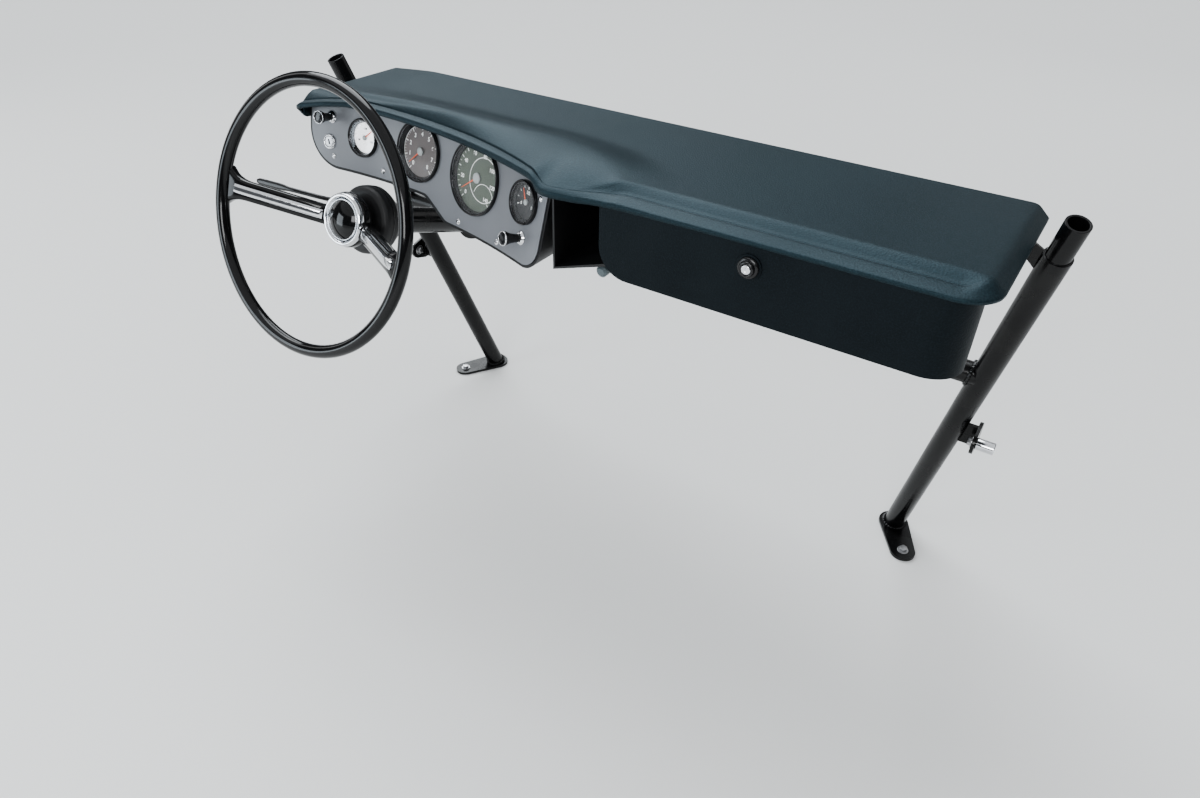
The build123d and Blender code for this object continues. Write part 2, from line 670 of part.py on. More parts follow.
def glovebox_bin():
    """Box behind the lid, hung under the moulded top, with the hinge's fixed knuckles."""
    front = LID_FACE_Y + LID_DEPTH + LID_GAP
    rear = front + BIN_DEPTH
    skin = DASH_TOP_Z - DASH_WALL
    floor_z = LID_BOTTOM_Z + HINGE_RISE + KNUCKLE_R + 2
    points = [(LID_LEFT + 2, skin), (LID_LEFT + 2, floor_z), (BIN_RIGHT, floor_z), (BIN_RIGHT, skin)]
    outer = make_face(FilletPolyline(*points, radius=[1, 26, 16, 1], close=True))
    w = BIN_WALL
    inner_points = [(LID_LEFT + 2 + w, skin + 9), (LID_LEFT + 2 + w, floor_z + w),
                    (BIN_RIGHT - w, floor_z + w), (BIN_RIGHT - w, skin + 9)]
    inner = make_face(FilletPolyline(*inner_points, radius=[1, 26 - w, 16 - w, 1], close=True))
    bin_part = (prism_y(outer, front, rear) - prism_y(inner, front - 1, rear - w)) & under_dash()
    y, z = hinge_axis()
    for x0, x1 in bin_spans():
        bin_part += box(x0, x1, y, front + LID_DEPTH, z, floor_z)
        bin_part += hinge_rod(KNUCKLE_R, x0, x1)
    return bin_part - hinge_rod(PIN_R)


def hinge_pin():
    """Pin through the knuckles."""
    spans = bin_spans()
    return hinge_rod(PIN_R, spans[0][0], spans[-1][1])


def lid_frame():
    """Frame on the lid's face at the lock, z towards the passenger."""
    return Plane(origin=(LOCK_X, LID_FACE_Y, LOCK_Z), x_dir=(1, 0, 0), z_dir=(0, -1, 0))


def lid_lock():
    """Body of the push-button lock."""
    bore = KEY_R + KEY_PLAY
    shank = LOCK_R - LOCK_SEAT - 0.3
    body = turned((bore, KEY_SEAT), (bore, LOCK_PROUD - 1), (LOCK_R - 3, LOCK_PROUD), (LOCK_R, LOCK_PROUD - 3),
                  (LOCK_R, 0), (shank, 0), (shank, -LOCK_SHANK), (0, -LOCK_SHANK), (0, KEY_SEAT))
    return lid_frame() * body


def lid_button():
    """Push button with the key slot."""
    top = LOCK_PROUD + 0.5
    button = turned((0, KEY_SEAT), (KEY_R, KEY_SEAT), (KEY_R, top - 1), (KEY_R - 1, top), (0, top))
    return lid_frame() * (button - Pos(0, 0, top) * Box(1.2, KEY_R, 3))


# Cubby

def cubby_ends():
    """X of the tray's two sides."""
    left = panel(PLATE_RIGHT + POD_MARGIN, PANEL_TOP + 40).origin.X + CUBBY_GAP
    return left, LID_LEFT + 2 - CUBBY_GAP


def cubby_block():
    """Outer shape of the tray."""
    skin = DASH_TOP_Z - DASH_WALL
    left, right = cubby_ends()
    rear = LID_FACE_Y + LID_DEPTH + LID_GAP + BIN_DEPTH
    outline = Polyline((left, skin), (left, CUBBY_LOW_LEFT), (right, CUBBY_LOW_RIGHT), (right, skin), close=True)
    return prism_y(make_face(outline), CUBBY_FRONT_Y, rear)


def cubby_tray():
    """Open tray between the instrument pod and the glovebox."""
    skin = DASH_TOP_Z - DASH_WALL
    left, right = cubby_ends()
    rear = LID_FACE_Y + LID_DEPTH + LID_GAP + BIN_DEPTH
    w = CUBBY_WALL
    over = skin + 2 * w
    inner = make_face(Polyline((left + w, over), (left + w, CUBBY_LOW_LEFT + w + 1),
                               (right - w, CUBBY_LOW_RIGHT + w), (right - w, over), close=True))
    return (cubby_block() - prism_y(inner, CUBBY_FRONT_Y - 1, rear - w)) & under_dash()


def cubby_knob():
    """Small pull knob on a bracket under the tray's right-hand end."""
    x, y, z = TRAY_KNOB
    half = TRAY_KNOB_R
    bracket = box(x - half, x + half, y + 14, y + 17, z - half, CUBBY_LOW_RIGHT) - cubby_block()
    stem = prism_y(Pos(x, z) * Circle(3), y + 4, y + 36)
    knob = turned((0, -5), (half - 3, -5), (half, -2), (half, 5), (0, 5))
    return bracket + stem + Plane(origin=(x, y, z), z_dir=(0, 1, 0)) * knob


# Instruments and controls

def gauge_parts(name, s, v, bezel_r, can_r, depth, angle):
    """Can, bezel, dial, needle and glass of one instrument."""
    place = panel(s, v)
    lens_top = BEZEL_PROUD - LENS_DEPTH
    lens_low = lens_top - LENS_THICK
    dial_top = lens_low - DIAL_DEPTH
    glass_r = bezel_r - BEZEL_WIDTH
    can = ring(can_r, can_r - CAN_WALL, -depth, 0) + ring(can_r, 0, -depth - CAN_WALL, -depth)
    can += ring(can_r * 0.25, 0, -depth - 9, -depth)
    bezel = turned((can_r - CAN_WALL, 0), (bezel_r, 0), (bezel_r, BEZEL_PROUD - 2), (bezel_r - 1.2, BEZEL_PROUD),
                   (glass_r, BEZEL_PROUD - 1), (glass_r, lens_top), (glass_r + 0.8, lens_top),
                   (glass_r + 0.8, lens_low), (can_r - CAN_WALL, lens_low - 0.5))
    lens = ring(glass_r + 0.7, 0, lens_low, lens_top)
    face_r = can_r - CAN_WALL
    dial = ring(face_r, 0, dial_top - DIAL_THICK, dial_top)
    reach = face_r * 0.78
    hub_r = max(face_r * 0.12, 3.0)
    level = dial_top + NEEDLE_LIFT
    tail = -reach * 0.25
    outline = make_face(Polyline((tail, -1.3), (reach, -0.5), (reach, 0.5), (tail, 1.3), close=True))
    blade = Pos(0, 0, level) * extrude(outline, NEEDLE_THICK)
    needle = Rot(0, 0, angle) * blade + ring(hub_r, 0, level - NEEDLE_LIFT, level + 1.8)
    made = {"can": can, "bezel": bezel, "dial": dial, "needle": needle, "glass": lens}
    nodes = {f"{name}_{part}": place * shape for part, shape in made.items()}
    nodes[f"{name}_bezel"] -= plate_slice()
    return nodes


def switch_collars():
    """Bright nuts of the two pull switches, with their barrels behind the plate."""
    made = []
    for _, s, v, _ in SWITCHES:
        nut = turned((5.2, 0), (COLLAR_NUT_R, 0), (COLLAR_NUT_R, 2), (COLLAR_NUT_R - 2, 4), (5.2, 4))
        barrel = ring(5.2, 3.2, -26, 4)
        made.append(panel(s, v) * nut - plate_slice() + panel(s, v) * barrel)
    return Compound(made)


def switch_knobs():
    """Knobs and stems of the two pull switches."""
    made = []
    for _, s, v, stem in SWITCHES:
        end = stem + KNOB_LENGTH
        knob = turned((0, -20), (3.1, -20), (3.1, stem - 6), (6.5, stem - 3), (6.5, stem), (KNOB_R - 1, stem + 3),
                      (KNOB_R, stem + 6), (KNOB_R, end - 2), (KNOB_R - 2, end), (0, end + 1))
        made.append(panel(s, v) * knob)
    return Compound(made)


def ignition_lock():
    """Key lock with a bright ring."""
    barrel = ring(LOCK_RING_R - 2, 0, -45, 1)
    face = turned((0, 0), (LOCK_RING_R, 0), (LOCK_RING_R, 1.5), (LOCK_RING_R - 2, 3.2), (7, 3.2), (7, 2.2),
                  (0, 2.2))
    face -= Pos(0, 0, 2) * Box(1.6, 8, 4)
    place = panel(*IGNITION)
    return place * face - plate_slice() + place * barrel


# Hoop

def leg_point(z):
    """Middle of the right leg at a height."""
    share = (z - LEG_FOOT[2]) / (LEG_CROSS[2] - LEG_FOOT[2])
    return Vector(*[a + share * (b - a) for a, b in zip(LEG_FOOT, LEG_CROSS)])


def tapered_pad(x0, y0, r0, x1, y1, r1):
    """Flat pad round two circles."""
    return make_hull((Pos(x0, y0) * Circle(r0)).edges() + (Pos(x1, y1) * Circle(r1)).edges())


def right_leg():
    """Raked tube, cut level over its foot, with the spigot for the windscreen post."""
    foot, top = leg_point(0), leg_point(LEG_TOP_Z)
    along = (top - foot).normalized()
    bore = LEG_R - LEG_WALL
    tube = rod(foot, top, LEG_R) - rod(foot - along, top + along, bore)
    tube = split(tube, bisect_by=Plane.XY.offset(FOOT_THICK), keep=Keep.TOP)
    seat, end = top - along * SPIGOT_SEAT, top + along * SPIGOT_LENGTH
    spigot = rod(seat, end, bore) - rod(seat - along, end + along, bore - SPIGOT_WALL)
    return tube + spigot


def right_foot():
    """Tapered plate under the leg, with its bolt hole."""
    foot = leg_point(0)
    pad = extrude(tapered_pad(FOOT_HALF, 0, FOOT_PAD_R, foot.X, foot.Y, LEG_R + 8), FOOT_THICK)
    return pad - Pos(FOOT_HALF, 0, 0) * Cylinder(FOOT_HOLE_R, 4 * FOOT_THICK)


def right_tab():
    """Side tab on its web, welded to the leg."""
    x, y, z = SIDE_TAB
    near = leg_point(z)
    outline = tapered_pad(y, z, TAB_PAD_R, near.Y, z, TAB_PAD_R + 5)
    tab = extrude(Plane.YZ * Pos(0, 0, x) * outline, TAB_THICK)
    half = TAB_THICK / 2
    tab += box(near.X, x + TAB_THICK, near.Y - half, near.Y + half, z - TAB_PAD_R, z + TAB_PAD_R)
    tab -= rod(leg_point(z - 2 * TAB_PAD_R), leg_point(z + 2 * TAB_PAD_R), LEG_R)
    return tab - rod((x - TAB_THICK, y, z), (x + 2 * TAB_THICK, y, z), TAB_HOLE_R)


def side_spacers():
    """Bright spacers between the side tabs and the body."""
    x, y, z = SIDE_TAB
    start = x + TAB_THICK
    outer = rod((start, y, z), (start + SPACER_LENGTH, y, z), SPACER_R)
    spacer = outer - rod((start - 1, y, z), (start + SPACER_LENGTH + 1, y, z), TAB_HOLE_R)
    return Compound([spacer, mirrored(spacer)])


def cross_distance():
    """Distance along the column to the middle of the cross tube."""
    return (LEG_CROSS[1] - WHEEL_Y) / cos(radians(COLUMN_TILT))


def cross_tube():
    """Tube from leg to leg, broken by the welded collar that holds the column."""
    x, y, z = LEG_CROSS
    tube = rod((-x, y, z), (x, y, z), CROSS_R) - rod((-x - 1, y, z), (x + 1, y, z), CROSS_R - 2)
    middle = cross_distance()
    half = COLLAR_LENGTH / 2
    collar = column() * ring(COLLAR_R, 0, middle - half, middle + half)
    bore = column() * ring(COLLAR_R - COLLAR_WALL, 0, middle - half - 9, middle + half + 9)
    leg_a, leg_b = leg_point(z - 120), leg_point(z + 120)
    leg = rod(leg_a, leg_b, LEG_R)
    return tube + collar - bore - leg - mirrored(leg)


def column_bush():
    """Rubber bush between the collar and the column tube."""
    middle = cross_distance()
    half = COLLAR_LENGTH / 2
    return column() * (ring(COLLAR_R - COLLAR_WALL, TUBE_R, middle - half - 4, middle + half + 4)
                       + ring(COLLAR_R, TUBE_R, middle - half - 7, middle - half))


def dash_stays():
    """Flat bars from the cross tube up to the moulded top."""
    _, y, z = LEG_CROSS
    skin = DASH_TOP_Z - DASH_WALL
    half = STAY_THICK / 2
    side = make_face(Polyline(
        (y - half, z + CROSS_R - 1.5), (y + half, z + CROSS_R - 1.5), (y - STAY_REACH, skin),
        (y - STAY_REACH - STAY_FLAT, skin), (y - STAY_REACH - STAY_FLAT, skin - STAY_THICK),
        (y - STAY_REACH - STAY_THICK, skin - STAY_THICK), close=True))
    bar = extrude(Plane.YZ * side, STAY_WIDTH / 2, both=True)
    bar -= rod((-STAY_WIDTH, y, z), (STAY_WIDTH, y, z), CROSS_R)
    return Compound([Pos(x, 0, 0) * bar for x in (-STAY_X, STAY_X)])


def dash_bracket(side, band):
    """Bracket that ties one end of the moulded top to its leg."""
    skin = DASH_TOP_Z - DASH_WALL
    z = LIP_Z - BRACKET_DROP
    near = leg_point(z)
    outer = side - band - DASH_WALL - BRACKET_CLEAR
    inner = outer - BRACKET_FOOT
    half = BRACKET_WIDTH / 2
    profile = make_face(Polyline(
        (near.X, z - half), (near.X, z + half), (outer, LIP_Z - BRACKET_CLEAR), (outer, skin), (inner, skin),
        (inner, skin - BRACKET_THICK), (outer - BRACKET_NECK, skin - BRACKET_THICK),
        (outer - BRACKET_NECK, LIP_Z - BRACKET_NECK), close=True))
    plate = prism_y(profile, near.Y - BRACKET_THICK / 2, near.Y + BRACKET_THICK / 2)
    foot = box(inner, outer, near.Y - half, near.Y + half, skin - BRACKET_THICK, skin)
    leg = rod(leg_point(z - 3 * BRACKET_WIDTH), leg_point(LEG_TOP_Z + SPIGOT_LENGTH), LEG_R)
    return plate + foot - leg


def dash_brackets():
    """Brackets at both ends."""
    return Compound([dash_bracket(DASH_RIGHT, LIP_BAND_RIGHT), mirrored(dash_bracket(DASH_HALF, LIP_BAND_LEFT))])


def build():
    """All nodes by name."""
    leg, foot, tab = right_leg(), right_foot(), right_tab()
    nodes = {
        "dash_top": dash_top(),
        "dash_lip": dash_lip(),
        "instrument_pod": instrument_pod(),
        "instrument_panel": instrument_panel(),
        "cubby_tray": cubby_tray(),
        "cubby_knob": cubby_knob(),
        "glovebox_bin": glovebox_bin(),
        "hinge_pin": hinge_pin(),
        "glovebox_lid": glovebox_lid(),
        "lid_lock": lid_lock(),
        "lid_button": lid_button(),
        "right_leg": leg,
        "left_leg": mirrored(leg),
        "right_foot": foot,
        "left_foot": mirrored(foot),
        "right_tab": tab,
        "left_tab": mirrored(tab),
        "side_spacers": side_spacers(),
        "cross_tube": cross_tube(),
        "dash_stays": dash_stays(),
        "dash_brackets": dash_brackets(),
        "column_tube": column_tube(),
        "column_bearings": column_bearings(),
        "column_bush": column_bush(),
        "indicator_shroud": indicator_shroud(),
        "indicator_stalk": indicator_stalk(),
        "switch_collars": switch_collars(),
        "switch_knobs": switch_knobs(),
        "ignition_lock": ignition_lock(),
        "steering_shaft": steering_shaft(),
        "steering_wheel": steering_wheel(),
        "spoke_bars": spoke_bars(),
        "horn_ring": horn_ring(),
        "horn_button": horn_button(),
    }
    for gauge in GAUGES:
        nodes.update(gauge_parts(*gauge))
    return nodes


os.makedirs("parts", exist_ok=True)
for node, shape in build().items():
    export_step(shape, f"parts/{node}.step")
    size = shape.bounding_box().size
    print(f"{node:22s} solids {len(shape.solids())}  size {size.X:.0f} x {size.Y:.0f} x {size.Z:.0f}")
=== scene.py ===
# %% [markdown]
# # Dressing a dashboard with its steering column
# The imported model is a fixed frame: every CAD piece is already in its place, in metres.
# This lesson gives each piece the surface and the softened edges of the real one. Pieces that
# catch the eye, such as the wheel's rim, are modelled again with bmesh so that their curves are
# smooth, and the rest keep their CAD shape and get a finish.

# %% Load the frame
import json
import math

import bmesh
import bpy
from mathutils import Matrix, Vector


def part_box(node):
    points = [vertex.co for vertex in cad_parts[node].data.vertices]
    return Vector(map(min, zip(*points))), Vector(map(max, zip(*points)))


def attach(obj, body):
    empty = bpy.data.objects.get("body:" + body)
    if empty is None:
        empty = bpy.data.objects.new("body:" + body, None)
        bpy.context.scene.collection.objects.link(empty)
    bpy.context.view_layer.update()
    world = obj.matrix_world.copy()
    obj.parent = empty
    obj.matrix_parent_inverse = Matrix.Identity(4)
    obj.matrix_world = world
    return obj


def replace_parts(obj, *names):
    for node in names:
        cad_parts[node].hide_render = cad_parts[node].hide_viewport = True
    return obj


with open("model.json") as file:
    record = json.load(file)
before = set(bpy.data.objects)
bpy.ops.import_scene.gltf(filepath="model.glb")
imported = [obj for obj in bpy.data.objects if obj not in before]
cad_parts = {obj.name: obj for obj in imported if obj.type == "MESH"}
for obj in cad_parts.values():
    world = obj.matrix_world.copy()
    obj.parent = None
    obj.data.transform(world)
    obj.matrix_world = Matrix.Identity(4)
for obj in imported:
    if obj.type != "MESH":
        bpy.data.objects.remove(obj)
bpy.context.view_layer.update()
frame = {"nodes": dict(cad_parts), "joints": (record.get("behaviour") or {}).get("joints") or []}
nodes = frame["nodes"]
joints = {joint["name"]: joint for joint in frame["joints"]}

# %% [markdown]
# Two places recur: the wheel with its column, and the curved instrument panel.
# Each gets a frame of its own, so that a piece can be modelled about the origin and then sent
# to its place by one matrix. The column's frame comes from the steering joint. The panel is part
# of a cone, so its frame is a function of how far along and how far up the plate a thing sits.

# %% Frames of reference
MM = 0.001


def placed(origin, z_axis, x_axis):
    """Matrix of a frame with this origin, z axis and rough x axis."""
    z = Vector(z_axis).normalized()
    y = z.cross(Vector(x_axis)).normalized()
    matrix = Matrix((y.cross(z), y, z)).transposed().to_4x4()
    matrix.translation = Vector(origin)
    return matrix


turning = joints["steering_turn"]
WHEEL_MIDDLE = Vector(turning["pos_m"])
COLUMN_AXIS = Vector(turning["axis"]).normalized()
column = placed(WHEEL_MIDDLE, COLUMN_AXIS, (1, 0, 0))
WHEEL_TURN = math.radians(5)
wheel = column @ Matrix.Rotation(WHEEL_TURN, 4, "Z")

# the plate's cone: its radius level with the wheel's middle, its lean from upright, how far ahead
# of the wheel it stands there, and its turn about the upright
PANEL_R = 962.4 * MM
PANEL_LEAN = math.radians(13.87)
PANEL_AHEAD = 153.8 * MM
PANEL_YAW = math.radians(-0.73)
CONE_X = WHEEL_MIDDLE.x + PANEL_R * math.sin(PANEL_YAW)
CONE_Y = WHEEL_MIDDLE.y + PANEL_AHEAD - PANEL_R * math.cos(PANEL_YAW)


def on_panel(along, up, turn=0):
    """Frame on the plate's face, z outwards, for places along and up it in millimetres."""
    phi = PANEL_YAW - along * MM / PANEL_R
    out = Vector((-math.sin(phi), math.cos(phi), 0))
    rise = Vector((0, 0, math.cos(PANEL_LEAN))) + out * math.sin(PANEL_LEAN)
    facing = Vector((0, 0, math.sin(PANEL_LEAN))) - out * math.cos(PANEL_LEAN)
    foot = Vector((CONE_X, CONE_Y, WHEEL_MIDDLE.z)) + out * PANEL_R + rise * up * MM
    side = Vector((math.cos(phi), math.sin(phi), 0))
    return placed(foot, facing, side) @ Matrix.Rotation(turn, 4, "Z")


print("wheel middle", [round(c, 4) for c in WHEEL_MIDDLE])

# %% [markdown]
# Shader maths reads best as plain sums. A Signal wraps one socket, and its operators add the
# Math nodes, so that `0.3 + 0.1 * grain` is a working node tree. A Finish holds one material
# and has one method that adds any other node.

# %% Signals


class Signal:
    """A socket that can stand in a sum with numbers and other signals."""

    def __init__(self, tree, socket):
        self.tree = tree
        self.socket = socket

    def math(self, operation, first, second, clamp=False):
        node = self.tree.nodes.new("ShaderNodeMath")
        node.operation = operation
        node.use_clamp = clamp
        for place, value in zip(node.inputs, (first, second)):
            if isinstance(value, Signal):
                self.tree.links.new(value.socket, place)
            else:
                place.default_value = value
        return Signal(self.tree, node.outputs[0])

    def __add__(self, other):
        return self.math("ADD", self, other)

    def __sub__(self, other):
        return self.math("SUBTRACT", self, other)

    def __rsub__(self, other):
        return self.math("SUBTRACT", other, self)

    def __mul__(self, other):
        return self.math("MULTIPLY", self, other)

    def __pow__(self, other):
        return self.math("POWER", self, other)

    __radd__ = __add__
    __rmul__ = __mul__

    def above(self, level, width):
        """0 below the level and 1 above it, with a soft step of this width."""
        return self.math("MULTIPLY", self - (level - width / 2), 1 / width, clamp=True)


print("signals ready")

# %% Finishes


class Finish:
    """One material: its shader, its Object coordinates and a short way to add nodes."""

    def __init__(self, name, colour, roughness, metallic=0, fixed=()):
        self.material = bpy.data.materials.new(name)
        self.material.use_nodes = True
        self.tree = self.material.node_tree
        self.shader = self.tree.nodes["Principled BSDF"]
        self.shader.inputs["Base Color"].default_value = (*colour, 1)
        self.shader.inputs["Roughness"].default_value = roughness
        self.shader.inputs["Metallic"].default_value = metallic
        for socket, value in dict(fixed).items():
            self.shader.inputs[socket].default_value = value
        self.place = self.node("ShaderNodeTexCoord", output="Object")

    def node(self, kind, settings=(), sockets=(), output=0):
        """Add a node: its settings come first, then the values or links of its sockets."""
        node = self.tree.nodes.new(kind)
        for name, value in dict(settings).items():
            setattr(node, name, value)
        for name, value in dict(sockets).items():
            if isinstance(value, Signal):
                self.tree.links.new(value.socket, node.inputs[name])
            else:
                node.inputs[name].default_value = value
        return Signal(self.tree, node.outputs[output])

    def noise(self, size, detail=3, roughness=0.55, stretch=(1, 1, 1)):
        """Soft noise with blotches of this size in millimetres."""
        place = self.place
        if stretch != (1, 1, 1):
            place = self.node("ShaderNodeMapping", sockets={"Vector": place, "Scale": stretch})
        sockets = {"Vector": place, "Scale": 1 / (size * MM), "Detail": detail, "Roughness": roughness}
        return self.node("ShaderNodeTexNoise", sockets=sockets)

    def cells(self, size, feature="F1"):
        """Distance to the nearest of many scattered points, this many millimetres apart."""
        sockets = {"Vector": self.place, "Scale": 1 / (size * MM)}
        return self.node("ShaderNodeTexVoronoi", {"feature": feature}, sockets, "Distance")

    def mixed(self, share, first, second):
        """Colour between two colours."""
        ends = [c if isinstance(c, Signal) else (*c, 1) for c in (first, second)]
        return self.node("ShaderNodeMix", {"data_type": "RGBA"}, {0: share, 6: ends[0], 7: ends[1]}, 2)

    def feed(self, socket, signal):
        """Drive one of the shader's own sockets."""
        self.tree.links.new(signal.socket, self.shader.inputs[socket])

    def bump(self, height, depth):
        """Small relief, this many millimetres deep."""
        sockets = {"Height": height, "Distance": depth * MM, "Strength": 1}
        self.feed("Normal", self.node("ShaderNodeBump", sockets=sockets))


print("finishes ready")

# %% [markdown]
# ## The black finishes
# Nearly everything here is black, so the finishes differ by gloss and by relief, not by colour.
# The wheel is a hard, deep gloss. The tubes are enamelled, with a little orange peel. The padded
# top is bluish-black vinyl with a fine, dry grain, and the blue of its reflections is a painted sky
# reflection, as on the lid. The lid has a grain too, and the mouldings are plain satin plastic.
# Dust, soft blotches and rubbed spots keep each from looking like a sample chip.

# %% Black finishes


def gloss_moulding():
    """Hard glossy plastic of the wheel, with a faint haze and small specks."""
    fixed = {"Coat Weight": 0.2, "Coat Roughness": 0.03, "Specular IOR Level": 0.32}
    finish = Finish("wheel_gloss", (0.004, 0.004, 0.0045), 0.1, fixed=fixed)
    haze = finish.noise(38, 4).above(0.56, 0.25)
    specks = finish.noise(2.2, 2).above(0.66, 0.1)
    finish.feed("Roughness", 0.085 + 0.09 * haze + 0.1 * specks)
    finish.feed("Base Color", finish.mixed(0.35 * specks, (0.006, 0.006, 0.0065), (0.03, 0.03, 0.032)))
    finish.bump(finish.noise(14, 2), 0.03)
    return finish.material


def enamel():
    """Smooth black paint on the tubes, with orange peel and a film of dust."""
    fixed = {"Coat Weight": 0.15, "Coat Roughness": 0.1, "Specular IOR Level": 0.3}
    finish = Finish("tube_enamel", (0.006, 0.006, 0.0065), 0.22, fixed=fixed)
    peel = finish.noise(3.2, 2)
    dust = finish.noise(60, 5).above(0.55, 0.3)
    finish.feed("Base Color", finish.mixed(0.4 * dust, (0.005, 0.005, 0.0055), (0.02, 0.0195, 0.019)))
    finish.feed("Roughness", 0.18 + 0.2 * dust)
    finish.bump(peel, 0.12)
    return finish.material


def grained_vinyl():
    """Dry fine-grained bluish-black skin of the padded top, with a painted sky-blue tint in its reflections.
    """
    # the Specular Tint turns every reflection sky blue: painted sky reflection
    fixed = {"Specular IOR Level": 0.42, "Specular Tint": (0.54, 0.84, 1, 1)}
    finish = Finish("top_vinyl", (0.006, 0.0105, 0.013), 0.5, fixed=fixed)
    pits = finish.cells(2.1)
    fine = finish.noise(0.9, 2)
    cloud = finish.noise(150, 5).above(0.5, 0.5)
    dust = finish.noise(3.4, 3).above(0.66, 0.1)
    plain = finish.mixed(cloud, (0.0045, 0.0086, 0.0108), (0.0078, 0.014, 0.0172))
    speckled = finish.mixed(pits.above(0.55, 0.4), plain, (0.0105, 0.02, 0.0245))
    finish.feed("Base Color", finish.mixed(0.3 * dust, speckled, (0.035, 0.045, 0.05)))
    finish.feed("Roughness", 0.38 + 0.08 * cloud + 0.16 * fine)
    finish.bump(pits + 0.5 * fine, 0.17)
    return finish.material


def lid_plastic():
    """Moulded skin of the lid: a grain that wears smooth in places, and the sky's blue painted into its
    reflections.
    """
    # the Specular Tint turns the lid's reflections blue: painted sky reflection
    fixed = {"Specular IOR Level": 0.2, "Specular Tint": (0.72, 0.9, 1, 1)}
    finish = Finish("lid_grain", (0.004, 0.0055, 0.007), 0.5, fixed=fixed)
    grain = finish.cells(1.9)
    rubbed = finish.noise(90, 4).above(0.52, 0.35)
    plain = finish.mixed(rubbed, (0.0036, 0.0047, 0.0058), (0.0064, 0.0082, 0.01))
    finish.feed("Base Color", finish.mixed(grain.above(0.6, 0.4), plain, (0.007, 0.0098, 0.0125)))
    finish.feed("Roughness", 0.46 - 0.08 * rubbed + 0.1 * grain)
    finish.bump(grain + 0.3 * finish.noise(0.9, 2), 0.2)
    return finish.material


def mottled(name, darker, lighter, blotch, grain, gloss, relief):
    """Plain paint or plastic: soft blotches in colour and roughness over a fine grain."""
    rough, with_blotch, with_grain = gloss
    finish = Finish(name, darker, rough)
    cloud = finish.noise(blotch, 4)
    fine = finish.noise(*grain)
    finish.feed("Base Color", finish.mixed(cloud, darker, lighter))
    finish.feed("Roughness", rough + with_blotch * cloud + with_grain * fine)
    finish.bump(fine, relief)
    return finish.material


GLOSS = gloss_moulding()
ENAMEL = enamel()
VINYL = grained_vinyl()
LID = lid_plastic()
SATIN = mottled("satin_moulding", (0.01, 0.01, 0.011), (0.018, 0.018, 0.019), 70, (0.8, 3),
                (0.4, 0.12, 0.08), 0.06)
RUBBER = mottled("bush_rubber", (0.012, 0.012, 0.012), (0.032, 0.031, 0.03), 9, (1.1, 3), (0.7, 0.2, 0), 0.08)
print("black finishes", [m.name for m in (GLOSS, ENAMEL, VINYL, LID, SATIN, RUBBER)])

# %% [markdown]
# ## Metal, faces and glass
# The plate behind the instruments is sheet metal in satin grey paint. Bright parts are chrome,
# which looks real only when its roughness varies a little. The dial faces are printed card under
# glass, so each has its own tint, and the figures are separate thin pieces of ink.

# %% Metal finishes


def bright(name, colour, smooth, rough, grain=(1, 1, 1), relief=0.01):
    """Bare or plated metal, polished or turned."""
    finish = Finish(name, colour, smooth, metallic=1)
    scuff = finish.noise(7, 5, stretch=grain).above(0.5, 0.5)
    darker = tuple(c * 0.86 for c in colour)
    finish.feed("Base Color", finish.mixed(scuff, colour, darker))
    finish.feed("Roughness", smooth + (rough - smooth) * scuff)
    finish.bump(finish.noise(3, 2, stretch=grain), relief)
    return finish.material


def soft_paint(name, colour, roughness, relief=0.04, painted_glow=0):
    """Semi-gloss paint or plastic on a small part; a painted glow, light that no lamp gives, lifts pale faces
    and ink a little.
    """
    fixed = {"Emission Color": (*colour, 1), "Emission Strength": painted_glow}
    finish = Finish(name, colour, roughness, fixed=fixed)
    cloud = finish.noise(16, 4)
    lighter = tuple(c * 1.5 + 0.004 for c in colour)
    finish.feed("Base Color", finish.mixed(0.6 * cloud, colour, lighter))
    finish.feed("Roughness", roughness - 0.05 + 0.1 * cloud)
    finish.bump(finish.noise(1.2, 2), relief)
    return finish.material


PLATE = mottled("plate_paint", (0.19, 0.198, 0.215), (0.225, 0.235, 0.255), 120, (0.9, 2),
                (0.28, 0.1, 0.08), 0.05)
CHROME = bright("chrome_plate", (0.8, 0.81, 0.83), 0.05, 0.16)
STEEL = bright("turned_steel", (0.5, 0.5, 0.51), 0.26, 0.42, grain=(1, 1, 6), relief=0.02)
BRONZE = bright("bearing_bronze", (0.55, 0.38, 0.2), 0.28, 0.45, grain=(1, 1, 6))
BEZEL = soft_paint("bezel_black", (0.008, 0.008, 0.009), 0.24)
KNOB = soft_paint("knob_black", (0.01, 0.01, 0.011), 0.2)
KNOB_CAP = soft_paint("knob_cap_black", (0.012, 0.013, 0.015), 0.12)
CAN = soft_paint("can_grey", (0.05, 0.05, 0.052), 0.38)
TRIM = bright("trim_dark", (0.2, 0.2, 0.21), 0.16, 0.28)
# the pale face glows: painted light, as the dial itself is not lit
PALE_FACE = soft_paint("face_pale", (0.88, 0.89, 0.9), 0.5, painted_glow=0.8)
BROWN_FACE = soft_paint("face_brown", (0.15, 0.13, 0.125), 0.5)
OLIVE_FACE = soft_paint("face_olive", (0.075, 0.095, 0.068), 0.5)
BLACK_FACE = soft_paint("face_black", (0.012, 0.012, 0.013), 0.5)
# the ink glows a little: painted light
INK = soft_paint("ink_ivory", (0.85, 0.86, 0.84), 0.55, painted_glow=0.12)
HUB_GREY = soft_paint("hub_grey", (0.4, 0.43, 0.43), 0.4)
TEAL_GREY = soft_paint("knob_teal_grey", (0.09, 0.115, 0.125), 0.35)
DARK_INK = soft_paint("ink_dark", (0.03, 0.03, 0.03), 0.55)
NEEDLE = soft_paint("needle_orange", (0.8, 0.13, 0.04), 0.4)


